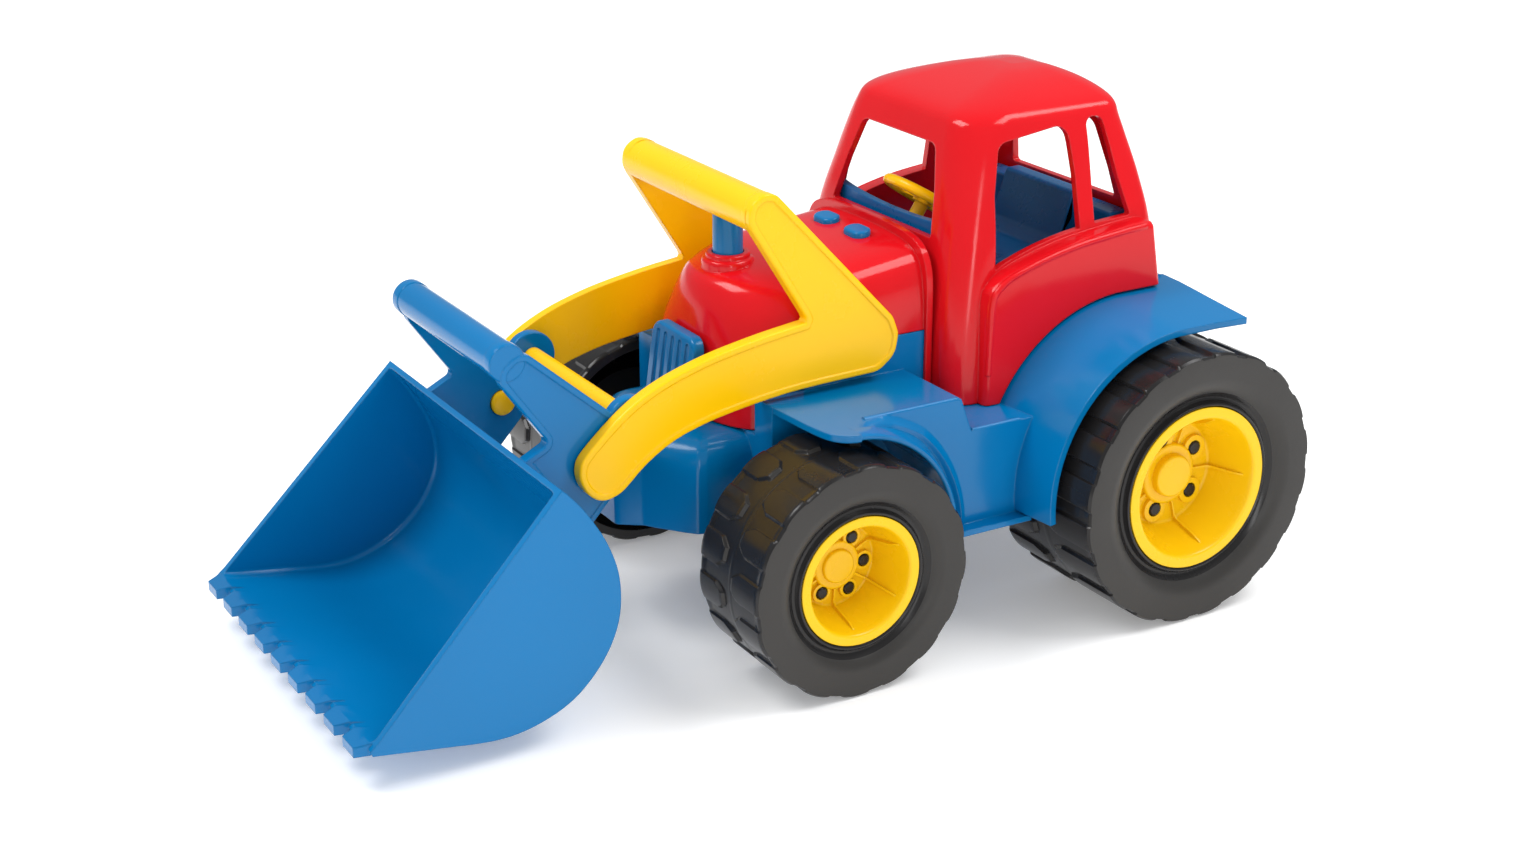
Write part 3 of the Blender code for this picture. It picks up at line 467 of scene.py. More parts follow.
def hump_arc(radius, z, count):
    """An arc round the rear axle, from height z on its front side up to the crown."""
    start = 180 - math.degrees(math.asin((z - REAR_R) / radius))
    return arc(REAR_Y, REAR_R, radius, start, 90, count)


def centre_outline(inset, base):
    """The centre block from the side, as far as the crown of its hump."""
    deck, step = DECK_Z - inset, STEP_Z - inset
    front = [(NOSE_Y + inset, base), (NOSE_Y + inset, deck), (RISER_Y - inset, deck),
             (RISER_Y + RISER_RUN - inset, step)]
    return front + hump_arc(HUMP_R - inset, step, 30)


def nose(name, levels):
    """The nose outline lofted through its levels, scaled about y = -4."""
    outline = round_corners([(x, y, 3.2) for x, y in mirrored(NOSE)], 4)
    return loft(name, [[(x * s, -4 + (y + 4) * s, z) for x, y in outline] for z, s in levels])


def arch_lip(side):
    """A lip that flares from the side panel and runs down round the front arch from the wing."""
    steps = 48
    rings = []
    for k in range(steps + 1):
        angle = 86.0 - 84.6 * k / steps
        t = k / steps
        lip = 92.1 - 5.6 * t ** 0.8
        ceiling = (DECK_Z - 0.01 - FRONT_R) / math.sin(math.radians(max(angle, 8.0)))
        wide = 3.0 + 5.0 * min(1.0, t * 2.2)
        # x, height above the arch
        section = [
            (78.0, 0.0), (lip - 0.5, 0.0), (lip, 0.5), (lip, 1.6), (lip - 0.6, 2.2),
            (lip - 2.4, 2.7), (lip - 4.8, 3.7), (lip - 7.4, wide * 0.62), (82.4, wide * 0.85),
            (80.9, wide), (80.1, 1.6 + wide), (78.0, 2.0 + wide)]
        cos, sin = math.cos(math.radians(angle)), math.sin(math.radians(angle))
        ring = []
        for x, rise in section:
            radius = min(FRONT_ARCH_R + rise, ceiling)
            ring.append((side * x, FRONT_Y + radius * cos, FRONT_R + radius * sin))
        rings.append(ring)
    return loft("lip", rings)


def rear_wing(side):
    rings = []
    for x, outer in REAR_WING:
        inner = outer - WALL
        ring = arc(REAR_Y, REAR_R, outer, 187.0, 90.0, 44)
        ring += [(160.0, REAR_R + outer), (175.0, REAR_R + outer - 0.6),
                 (175.0, REAR_R + inner - 0.6), (160.0, REAR_R + inner)]
        ring += arc(REAR_Y, REAR_R, inner, 90.0, 187.0, 44)
        rings.append([(side * x, y, z) for y, z in ring])
    return loft("rear_wing", rings)


def chassis():
    body = along_x("chassis", side_outline(FRONT_ARCH_R, REAR_ARCH_R, 0.0), -SIDE_X, SIDE_X)
    centre = centre_outline(0.0, 46.0) + [(172.0, 119.0), (175.0, 116.0), (175.0, 46.0)]
    join(body, along_x("centre", centre, -CENTRE_X, CENTRE_X),
         box("walls", -42, 42, 12, 68, 90, 111))
    join(body, nose("nose", [(46.0, 1.0)] + spline(NOSE_TOP, 3)))

    wing = [(40, -8.0)] + spline(WING_EDGE, 5) + [
        (92.1, 5.0), (SIDE_X, 5.0), (SIDE_X, RISER_Y), (40, RISER_Y)]
    for side in (1, -1):
        join(body, along_z("wing", [(side * x, y) for x, y in wing], DECK_Z - WALL, DECK_Z))
        join(body, arch_lip(side))
        # Raised beads along the edges of the deck and the step: y range, z.
        for y0, y1, z in ((14.0, 55.2, 96.8), (61.9, 84.0, 83.2)):
            bead = [(side * (78.9 + 1.15 * math.cos(TURN * q / 20)),
                     z + 0.95 * math.sin(TURN * q / 20)) for q in range(20)]
            join(body, along_y("bead", bead, y0, y1))
        sill = [(side * 76, 50.5), (side * 86, 52.0), (side * 86, 86.5), (side * 76, 86.5)]
        join(body, along_z("sill", sill, SILL_Z, 46.2))
        join(body, rear_wing(side))

    # The side hollow runs out through the sill.
    hollow = [(y, z if z > SILL_Z + 0.01 else 38.0) for y, z in
              side_outline(FRONT_ARCH_R + WALL, REAR_ARCH_R + 2 * WALL + 1.6, WALL)]
    cut(body, along_x("hollow_mid", hollow, -SIDE_X + WALL, SIDE_X - WALL))
    hollow = centre_outline(WALL, 30.0) + [(172.4, 119.0 - WALL), (172.4, 30.0)]
    cut(body, along_x("hollow_centre", hollow, -CENTRE_X + WALL, CENTRE_X - WALL))
    cut(body, nose("nose_in", NOSE_HOLLOW))
    cut(body, box("engine_bay", -39.4, 39.4, -12.0, 65.4, 82.0, 120.0))
    cut(body, box("engine_floor", -39.4, 39.4, -5.4, 53.7, 60.0, 120.0))
    for side in (1, -1):
        carrier_x = span(side, 41.0, CENTRE_X)
        join(body, box("front_carrier", *carrier_x, -7.2, 7.2, 37.5, 62.0))
        join(body, box("rear_carrier", *carrier_x, REAR_Y - 9, REAR_Y + 9, 46.5, 66.0))
    join(body, box("front_web", -51, 51, -7.6, -5.0, 48.0, 78.0))
    cut(body, rod_x("front_bore", FRONT_BORE_R, -90, 90, FRONT_Y, FRONT_R, 24))
    cut(body, rod_x("rear_bore", REAR_BORE_R, -90, 90, REAR_Y, REAR_R, 24))
    cut(body, rod_x("lift_bore", 4.3, -60, 60, LIFT_Y, LIFT_Z, 32))
    cut(body, box("slot", -10.3, 10.3, -22.3, -18.7, 70.0, 95.0))
    tidy(body, 0.02, 0.3)
    publish(body, "chassis", BLUE, "plastic_blue", suffix="_shell")


# ------------------------------------------------------------------ bonnet
# Levels: half width, share of the full height, y of the front.
BONNET = [
    (42.0, 0.00, -16.5), (42.0, 0.18, -16.1), (42.0, 0.35, -15.7), (41.9, 0.46, -15.2),
    (41.7, 0.56, -14.6), (41.4, 0.645, -13.8), (40.9, 0.72, -13.4), (40.2, 0.785, -12.7),
    (39.2, 0.84, -11.7), (37.9, 0.882, -10.9), (36.2, 0.914, -9.9), (33.8, 0.941, -8.5),
    (30.6, 0.962, -6.4), (26.4, 0.978, -3.2), (21.0, 0.989, 1.6), (14.0, 0.996, 8.5),
    (6.0, 1.0, 18.0)]
# Band across the rear edge, left half: x, z.
BAND = [(43.6, 126.0), (43.0, 132.5), (41.2, 138.0), (37.8, 142.4), (32.0, 145.2),
        (23.0, 146.6), (12.0, 147.2), (0.0, 147.3)]
# Collar round the exhaust stack: radius, z.
COLLAR = [(2.0, 126.0), (10.1, 126.0), (10.1, 137.6), (9.9, 138.5), (9.3, 139.1), (8.7, 139.2),
          (8.4, 139.5), (8.5, 140.1), (8.3, 140.8), (7.7, 141.2), (2.0, 141.2)]


def bonnet_form(name, inset, base, rear):
    rings = []
    for half_width, height, front in BONNET:
        half_width, front = half_width - inset, front + inset
        blend = smoothstep(0.35, 0.97, height)
        middle = max(14.0 + 20.0 * blend, front + 9.0)
        power = 0.78 + 0.22 * blend
        half = []
        for k in range(19):
            t = math.radians(90.0 * k / 18)
            half.append((half_width * math.sin(t) ** power,
                         middle - (middle - front) * math.cos(t) ** power))
        half += [(half_width, middle + (rear - middle) * f) for f in (0.2, 0.4, 0.6, 0.8, 1.0)]
        ring = []
        for x, y in half + [(-x, y) for x, y in reversed(half[1:])]:
            # The top line is level at the front and rises toward the cab.
            top = 137.2 if y < 3.0 else 137.2 + 7.6 * (y - 3.0) / 65.0
            ring.append((x, y, base + (top - inset - base) * height))
        rings.append(ring)
    return loft(name, rings)


def bonnet():
    shell = bonnet_form("bonnet", 0.0, 82.4, 68.0)
    band = [(43.6, 84.0)] + spline(BAND, 4)
    band += [(-x, z) for x, z in reversed(band[:-1])]
    join(shell, along_y("band", band, 65.2, 68.0))
    join(shell, turned_z("collar", COLLAR, 0, STACK_Y))
    cut(shell, bonnet_form("bonnet_in", WALL, 75.0, 75.0))
    for side in (1, -1):
        cut(shell, box("relief", *span(side, 37.8, 60), 11.7, 64.9, 70.0, 111.3))
        cut(shell, box("relief2", *span(side, 39.1, 42.3), 60.0, 80.0, 70.0, 111.3))
        cut(shell, box("relief3", *span(side, 39.1, 52.3), -8.4, 62.0, 70.0, 97.3))
    cut(shell, box("tail", -38.9, 38.9, 62.0, 80.0, 60.0, 84.2))
    cut(shell, rod_z("stack_hole", 6.2, 0, STACK_Y, 110.0, 150.0))
    for side in (1, -1):
        cut(shell, rod_z("plug_hole", 2.8, side * PLUG_X, PLUG_Y, 120.0, 160.0, 24))
    tidy(shell, 0.02, 0.1)
    publish(shell, "bonnet", RED, "plastic_red", suffix="_shell", angle=45)


# ------------------------------------------------------------------ cab
# Levels: z, half width, front y, rear y, front corner radius, rear corner radius.
CAB = [
    (78.0, 58.5, 68.6, 166.5, 9, 5), (112.0, 57.0, 69.0, 166.5, 12, 5),
    (140.0, 54.5, 71.6, 165.7, 15, 5), (160.0, 50.5, 76.0, 161.9, 16, 5),
    (176.0, 47.0, 79.8, 157.6, 17, 6), (184.0, 44.6, 82.2, 156.0, 17, 7),
    (187.6, 43.2, 84.0, 155.6, 17, 7), (189.8, 41.2, 86.8, 155.2, 17, 7),
    (191.6, 38.0, 91.2, 154.7, 16, 7.5), (193.4, 33.6, 97.4, 153.6, 14, 8),
    (195.4, 27.8, 105.5, 151.4, 12, 8), (197.2, 21.4, 114.0, 148.3, 9, 8),
    (198.8, 13.5, 123.0, 144.0, 6, 6), (199.6, 5.0, 130.0, 139.0, 3, 3)]
# Lowest level and roof levels of the cab's hollow, same columns.
CAB_HOLLOW_BASE = (70.0, 55.4, 71.4, 163.6, 7, 3)
CAB_HOLLOW_ROOF = [(188.0, 38.0, 90.0, 152.6, 13, 5), (191.0, 31.0, 100.4, 151.0, 12, 6),
                   (194.0, 21.0, 113.5, 147.6, 9, 7), (196.4, 6.0, 128.0, 140.0, 3, 3)]
# Top edge of the lower side panel: y, z.
BELT = [(81.6, 127.0), (83.6, 129.9), (89.8, 134.2), (101.3, 138.0), (113.0, 140.8),
        (124.8, 142.8), (142.8, 144.7), (154.6, 145.5)]
# Rounded ends of the lower panel: x, scale of y, drop of the top edge.
BELT_ENDS = [(62.8, 0.955, 2.6), (62.5, 0.972, 1.5), (61.7, 0.988, 0.6), (60.4, 1.0, 0.0)]
# Window corners: y, z, fillet. The door's lower edge follows the belt.
DOOR = [(88.0, 134.6, 0), (90.4, 162.0, 0), (94.6, 180.4, 5.0), (126.8, 184.2, 5.6),
        (128.5, 165.0, 0), (128.8, 144.6, 0)]
QUARTER = [(135.8, 145.6, 0.8), (136.2, 185.6, 4.0), (143.8, 185.0, 3.0), (148.8, 162.2, 0),
           (153.4, 146.6, 0.8)]
# Front and rear screens, left halves: x, z, fillet.
SCREEN = [(34.6, 144.4, 1.0), (30.4, 162.0, 0), (25.0, 178.0, 4.5)]
REAR_SCREEN = [(34.0, 148.0, 1.5), (27.0, 179.0, 4.5)]
# Opening behind the bonnet, left half: x, z.
OPENING = [(40.0, 70.0), (40.0, 126.0), (37.5, 133.0), (33.0, 138.0), (24.0, 141.0)]


def cab_form(name, levels):
    rings = []
    for z, half_width, front, rear, front_r, rear_r in levels:
        right, left = -half_width, half_width
        ring = []
        for x, y, start, radius in (
                (left - rear_r, rear - rear_r, 0, rear_r), (right + rear_r, rear - rear_r, 90, rear_r),
                (right + front_r, front + front_r, 180, front_r),
                (left - front_r, front + front_r, 270, front_r)):
            for k in range(13):
                t = math.radians(start + 90 * k / 12)
                ring.append((x + radius * math.cos(t), y + radius * math.sin(t), z))
        rings.append(ring)
    return loft(name, rings)


def belt_bead(side):
    """A bead just inside the front and top edges of the lower panel."""
    radius, inset = 1.25, 1.5
    path = [(79.9, 96.0), (80.3, 110.0), (80.8, 122.0)] + spline(BELT, 3)
    rings = []
    for k, point in enumerate(path):
        before, after = path[max(k - 1, 0)], path[min(k + 1, len(path) - 1)]
        along = Vector((after[0] - before[0], after[1] - before[1])).normalized()
        inward = Vector((along.y, -along.x))
        middle = Vector(point) + inward * inset
        ring = []
        for q in range(14):
            cos, sin = math.cos(TURN * q / 14), math.sin(TURN * q / 14)
            ring.append((side * (62.0 + radius * cos), middle.x + inward.x * radius * sin,
                         middle.y + inward.y * radius * sin))
        rings.append(ring)
    return loft("bead", rings)


def cab():
    shell = cab_form("cab", spline(CAB, 5))
    belt = [(79.6, 78.0), (80.4, 118.0), (80.8, 123.0)] + spline(BELT, 4)
    belt += round_corners([(155.6, 145.5, 0), (158.8, 145.0, 2.4), (163.4, 120.6, 0)], 5)[1:]
    belt += [(165.4, 100.0), (165.4, 78.0)]
    join(shell, loft("belt", [[(x, 124 + (y - 124) * scale, z if z < 100 else z - drop)
                               for y, z in belt] for x, scale, drop in mirrored(BELT_ENDS)]))
    for side in (1, -1):
        join(shell, belt_bead(side))

    wall = 2.8
    hollow = [CAB_HOLLOW_BASE]
    for z, half_width, front, rear, front_r, rear_r in CAB[1:6]:
        hollow.append((z, half_width - wall, front + wall, rear - wall,
                       max(front_r - wall, 2.4), max(rear_r - wall, 2.4)))
    cut(shell, cab_form("cab_in", hollow + CAB_HOLLOW_ROOF))
    under = [(60.0, 83.8)] + hump_arc(UNDER_R, 83.8, 36) + [
        (180.0, 119.3), (180.0, 40.0), (60.0, 40.0)]
    cut(shell, along_x("under", under, -90, 90))

    door_sill = [(y, z + 1.4) for y, z in spline(BELT[2:6], 4)]
    door = round_corners(DOOR, 7) + list(reversed(door_sill[1:-1]))
    quarter = round_corners(QUARTER, 7)
    cut(shell, along_x("door", door, -90, 90), along_x("quarter", quarter, -90, 90))
    cut(shell, along_y("screen", round_corners(mirrored(SCREEN), 7), 50.0, 100.0))
    cut(shell, along_y("rear_screen", round_corners(mirrored(REAR_SCREEN), 7), 148.0, 190.0))
    cut(shell, along_y("opening", mirrored(OPENING), 55.0, 76.5))
    tidy(shell, 0.02, 0.1)
    publish(shell, "cab", RED, "plastic_red", suffix="_shell", angle=45)


# ------------------------------------------------------------------ cab fittings
# Seat from the side: y, z, fillet.
SEAT = [(110.0, 120.2, 0), (140.0, 119.6, 0), (163.0, 119.6, 0), (163.0, 131.0, 1.6),
        (158.4, 131.6, 1.0), (157.4, 149.4, 2.6), (149.4, 149.2, 2.4), (142.8, 130.0, 5.0),
        (138.0, 126.2, 3.0), (112.0, 125.8, 2.0)]
# Top edge of the dashboard: x, z.
DASH_TOP = [(38.2, 150.4), (29.0, 149.0), (15.0, 147.9), (0.0, 147.6), (-15.0, 147.9),
            (-29.0, 149.0), (-38.2, 150.4)]


def seat():
    block = along_x("seat", round_corners(SEAT, 5), -22.5, 22.5)
    under = arc(REAR_Y, REAR_R, UNDER_R, 150, 90, 36) + [(165.0, 119.3), (165.0, 100.0)]
    cut(block, along_x("seat_under", under, -50, 50))
    join(block, box("shelf", -45.0, 45.0, 150.5, 160.4, 124.0, 145.4))
    soften(block, width=1.4, segments=4, angle=40)
    # The seat's blue carries painted shade from the cab.
    publish(block, "seat", BLUE_SATIN_SHADED, "plastic_blue")


def dashboard():
    outline = [(-37.0, 140.0), (-37.0, 84.2), (37.0, 84.2), (37.0, 140.0)] + spline(DASH_TOP, 5)
    panel = along_y("dash", outline, 76.9, 79.9)
    shelf = [(-36.0, 78.0), (36.0, 78.0), (30.0, 89.0), (-30.0, 89.0)]
    join(panel, along_z("shelf", shelf, 137.0, 140.5))
    join(panel, box("foot", -36.0, 36.0, 77.0, 84.0, 84.2, 86.8))
    # Hole for the steering column, down along its axis.
    down = Vector((0, -LEAN_Y, -LEAN_Z))
    rings = []
    for t in (2.0, 40.0):
        middle = Vector(STEER_AT) + down * t
        rings.append([tuple(middle + Vector((x, y * LEAN_Z, -y * LEAN_Y)))
                      for x, y in circle(0, 0, 3.25, 32)])
    cut(panel, loft("hole", rings))
    soften(panel, width=0.8, segments=3, angle=40)
    # The dashboard's blue carries painted shade from the cab.
    publish(panel, "dashboard", BLUE_SATIN_SHADED, "plastic_blue")


def steering_wheel():
    axis, up, left = Vector((0, LEAN_Y, LEAN_Z)), Vector((0, -LEAN_Z, LEAN_Y)), Vector((1, 0, 0))
    centre = Vector(STEER_AT) + axis * 1.2

    def outward(angle):
        return left * math.cos(angle) + up * math.sin(angle)

    def column(radius, start, end):
        return loft("column", [[tuple(centre + axis * t + outward(TURN * k / 32) * radius)
                                for k in range(32)] for t in (start, end)])

    rings = []
    for i in range(72):
        out = outward(TURN * i / 72)
        rings.append([tuple(centre + out * (16.2 + 2.1 * math.cos(b)) + axis * (2.1 * math.sin(b)))
                      for b in [TURN * j / 20 for j in range(20)]])
    wheel = loft("ring", rings, loop=True)
    spoke = [(-14.8, -1.5), (14.8, -1.5), (14.8, 1.5), (-14.8, 1.5)]
    for turn in (0.0, 90.0):
        cos, sin = math.cos(math.radians(turn)), math.sin(math.radians(turn))
        along, across = left * cos + up * sin, up * cos - left * sin
        join(wheel, loft("spoke", [[tuple(centre + along * a + across * b + axis * t)
                                    for a, b in spoke] for t in (-1.2, 0.8)]))
    join(wheel, column(4.2, -2.5, 2.0), column(2.9, -27.2, -1.0))
    soften(wheel, width=0.4, segments=2, angle=45, flat=0.1)
    publish(wheel, "steering_wheel", YELLOW, "plastic_yellow", body="steering", angle=45)


# ------------------------------------------------------------------ bonnet fittings
# Exhaust stack: radius, z.
STACK = [(0.02, 118.0), (6.6, 118.0), (7.0, 118.4), (7.0, 120.8), (5.9, 121.2), (5.85, 140.0),
         (5.75, 165.6), (5.5, 166.6), (5.0, 167.0), (4.4, 166.9), (4.1, 166.2), (3.9, 150.0),
         (0.02, 149.0)]
# Bonnet plug: radius, z.
PLUG = [(2.3, 135.0), (2.3, 142.6), (3.9, 142.7), (4.0, 143.2), (3.97, 144.5), (3.75, 145.0),
        (3.3, 145.25), (2.4, 145.35)]
# Grille depth: y, scale of x, drop of the top.
GRILLE_STATIONS = [(-22.9, 0.93, 1.2), (-22.7, 0.965, 0.6), (-22.2, 0.988, 0.2),
                   (-21.4, 1.0, 0.0), (-18.4, 1.0, 0.0)]
GRILLE_TOP = 114.0


def exhaust_stack():
    stack = turned_z("stack", STACK, 0, STACK_Y)
    publish(stack, "exhaust_stack", BLUE, "plastic_blue", angle=50)


def plug(side):
    """A plug with an oblong head whose levels tilt up toward the rear."""
    rings = []
    for radius, z in PLUG:
        ring = []
        for k in range(48):
            cos, sin = math.cos(TURN * k / 48), math.sin(TURN * k / 48)
            stretch = (2.2 if cos > 0 else -2.2) * min(1.0, radius / 2.5)
            ring.append((side * PLUG_X + radius * cos + stretch, PLUG_Y + radius * sin,
                         z + radius * sin * 0.13))
        rings.append(ring)
    name = "bonnet_plug_" + ("left" if side > 0 else "right")
    publish(loft("plug", rings), name, BLUE, "plastic_blue", angle=50)


def grille():
    def leaned(y, z):
        return y + (GRILLE_TOP - z) * -0.14 + 2.6

    front = round_corners(mirrored([(16.8, 81.7, 0), (16.8, GRILLE_TOP, 5.5)]), 8)
    slab = loft("grille", [[(x * scale, leaned(y, z), z if z < 90 else z - drop) for x, z in front]
                           for y, scale, drop in GRILLE_STATIONS])
    pitch, half = 5.6, 1.25
    groove = round_corners(mirrored([(half, 80.0, 0), (half, 111.4, 1.2)]), 4)
    for k in range(5):
        middle = -2 * pitch + pitch * k
        cut(slab, loft("groove", [[(middle + x * scale, leaned(y, z), z) for x, z in groove]
                                  for y, scale in ((-26.0, 1.6), (-22.2, 1.0), (-21.9, 0.5))]))
    join(slab, box("foot", -10.0, 10.0, -22.0, -19.0, 74.0, 84.0))
    publish(slab, "radiator_grille", BLUE, "plastic_blue")


# ------------------------------------------------------------------ loader arms
# Arm from the side. Rear corners: y, z, fillet.
ARM_REAR = [(-1.9, 173.1, 0), (46.6, 121.6, 9.0), (49.2, 114.7, 6.0), (47.8, 106.6, 9.0),
            (40.5, 101.0, 9.0), (14.3, 100.4, 0)]
# Lower edge forward round the tip, then back along the upper edge: y, z.
ARM_LOW = [
    (40.5, 101.0), (14.3, 100.4), (-1.5, 99.5), (-17.1, 97.6), (-32.4, 94.9), (-46.5, 90.6),
    (-58.0, 83.9), (-66.6, 76.4), (-70.6, 74.2), (-74.6, 73.4), (-78.6, 74.6), (-82.0, 77.8),
    (-84.2, 82.2), (-84.5, 86.5), (-82.8, 90.8), (-76.0, 97.4), (-68.4, 103.7), (-60.5, 108.9),
    (-50.0, 113.8), (-39.6, 117.2), (-27.6, 120.2), (-9.3, 123.4), (8.0, 125.6)]
# Up and round the handle end: y, z.
ARM_TOP = [(-13.9, 162.9), (-15.5, 167.0), (-14.4, 172.6), (-9.6, 176.0), (-4.6, 175.4),
           (-1.9, 173.1)]
# Pin at the arm's tip, pointing inward: x, radius.
TIP_PIN = [(46.0, 4.75), (38.6, 4.75), (38.3, 5.0), (37.9, 5.0), (37.4, 4.5), (37.1, 3.2),
           (36.95, 0.6)]


def loader_arms():
    outline = ([ARM_REAR[0][:2]] + round_corners(ARM_REAR, 5)[1:-1] + spline(ARM_LOW, 3)[2:]
               + [(8.5, 126.6), (7.9, 128.2)] + spline(ARM_TOP, 4)[:-1])
    arms = raised_plate("arms", outline, 44.1, 49.1, rounding=0.9)
    join(arms, raised_plate("arm_far", outline, -44.1, -49.1, rounding=0.9))
    # The handle is a gutter between the arms.
    gutter = (arc(HANDLE_Y, HANDLE_Z, 7.85, 36.0, 224.0, 26)
              + arc(HANDLE_Y, HANDLE_Z, 5.4, 224.0, 36.0, 26))
    join(arms, along_x("handle", gutter, -46.0, 46.0))
    for side in (1, -1):
        join(arms, turned_x("tip_pin", TIP_PIN, TIP_Y, TIP_Z, 40, side))
        join(arms, rod_x("lift_pin", 4.0, *span(side, 37.2, 46.0), LIFT_Y, LIFT_Z, 40))
    tidy(arms, 0.01, 0.2)
    publish(arms, "loader_arms", YELLOW, "plastic_yellow", body="loader", angle=45)


# ------------------------------------------------------------------ bucket
# Bucket from the side, back edge down and forward to the lip: y, z.
BUCKET_OUT = [
    (-102.8, 91.9), (-96.1, 83.6), (-88.8, 71.0), (-84.9, 57.4), (-86.0, 41.9), (-92.9, 28.3),
    (-104.7, 17.1), (-119.1, 10.9), (-134.5, 9.2), (-156.1, 12.1), (-179.0, 15.6)]
BUCKET_IN = [
    (-105.4, 91.6), (-98.8, 82.3), (-91.6, 69.6), (-87.8, 56.6), (-88.9, 42.6), (-95.1, 30.4),
    (-106.2, 19.9), (-119.9, 13.8), (-134.3, 12.1), (-155.8, 15.0), (-181.0, 18.9)]
# Rounded ends of the cavity: share of the half width, shrink.
CAVITY_ENDS = [(1.0, 2.0), (0.994, 1.1), (0.985, 0.5), (0.972, 0.0)]
# Tooth corners: x from its middle, y, base z, crown z.
TOOTH = [(-7.2, -171.5, 15.4, 17.2), (7.2, -171.5, 15.4, 17.2), (7.0, -179.0, 14.9, 19.3),
         (4.95, -184.1, 14.4, 18.2), (-4.95, -184.1, 14.4, 18.2), (-7.0, -179.0, 14.9, 19.3)]
TEETH, TEETH_HALF_SPAN = 9, 80.0
# Lever plate behind the bucket: y, z, fillet.
LEVER = [
    (-102.6, 133.4, 6.2), (-113.3, 125.3, 6.2), (-93.5, 97.2, 2.0), (-103.4, 92.2, 0),
    (-97.0, 82.8, 0), (-90.0, 70.0, 0), (-86.0, 59.0, 0), (-78.0, 62.6, 4), (-66.5, 75.0, 5),
    (-60.0, 90.0, 0), (-60.0, 97.0, 2), (-66.0, 101.4, 2.0)]
LEVER_IN, LEVER_OUT = 39.0, 43.6
# Ends of the grip: x, radius.
GRIP_CAP = [(38.4, 6.7), (38.7, 6.9), (42.8, 6.9), (43.3, 6.5)]
# Half of the tie rod, from its end inward: x, radius.
TIE_ROD = [(43.2, 2.7), (42.9, 3.0), (38.7, 3.0), (38.7, 3.7), (38.4, 4.0)]


def bucket_half(z):
    """Half width of the bucket, wider toward the bottom."""
    return 76.2 + 4.4 * min(1.0, max(0.0, (92.0 - z) / 75.0))


def scoop():
    outer = spline(BUCKET_OUT, 6) + [(-179.6, 17.4), (-176.0, 20.5), (-104.6, 93.6)]
    cavity = spline(BUCKET_IN, 6) + [(-200.0, 40.0), (-150.0, 120.0)]
    shell = loft("bucket", [[(s * bucket_half(z), y, z) for y, z in outer] for s in (-1, 1)])
    rings = []
    for share, shrink in mirrored(CAVITY_ENDS):
        rings.append([(share * (bucket_half(z) - 3.0), y - (shrink if y > -150 else 0) * 0.7,
                       z + (shrink if z < 60 else 0)) for y, z in cavity])
    cut(shell, loft("cavity", rings))
    soften(shell, width=1.0, segments=4, angle=40, merge=0.02, flat=0.25)
    return shell


def bucket():
    shell = scoop()
    pitch = 2 * TEETH_HALF_SPAN / TEETH
    for k in range(TEETH):
        middle = -TEETH_HALF_SPAN + pitch * (k + 0.5)
        join(shell, loft("tooth", [[(middle + x, y, base) for x, y, base, crown in TOOTH],
                                   [(middle + x * 0.97, y, crown) for x, y, base, crown in TOOTH]]))
    plate = round_corners(LEVER, 8)
    for side in (1, -1):
        join(shell, raised_plate("lever", plate, side * LEVER_IN, side * LEVER_OUT, rounding=0.7))
        low, high = span(side, LEVER_IN, LEVER_OUT)
        ear = [(low, 9.2), (low + 0.25, 9.6), (low + 0.8, 9.8),
               (high - 0.8, 9.8), (high - 0.25, 9.6), (high, 9.2)]
        join(shell, turned_x("ear", ear, TIE_Y, TIE_Z, 56))
    join(shell, rod_x("grip", 6.6, -42.6, 42.6, GRIP_Y, GRIP_Z, 48))
    for side in (1, -1):
        join(shell, turned_x("cap", GRIP_CAP, GRIP_Y, GRIP_Z, 48, side))
    # The grip is hollowed from the rear and below.
    gutter = arc(GRIP_Y, GRIP_Z, 4.3, 224.0, 30.0, 24)
    (first_y, first_z), (last_y, last_z) = gutter[0], gutter[-1]
    gutter = [(first_y + 9.6, first_z - 12.8)] + gutter + [(last_y + 9.6, last_z - 12.8)]
    cut(shell, along_x("gutter", gutter, -38.2, 38.2))
    cut(shell, rod_x("tip_bore", 5.05, -60, 60, TIP_Y, TIP_Z, 48),
        rod_x("tie_bore", 3.3, -60, 60, TIE_Y, TIE_Z, 40))
    tidy(shell, 0.01, 0.15)
    publish(shell, "bucket", BLUE, "plastic_blue", body="bucket")


def tie_rod():
    rod = turned_x("tie", mirrored(TIE_ROD), TIE_Y, TIE_Z, 40)
    publish(rod, "bucket_tie_rod", YELLOW, "plastic_yellow", body="bucket", angle=45)


# ------------------------------------------------------------------ wheels
LUG_FILL = 0.64                           # share of the pitch that a lug takes up
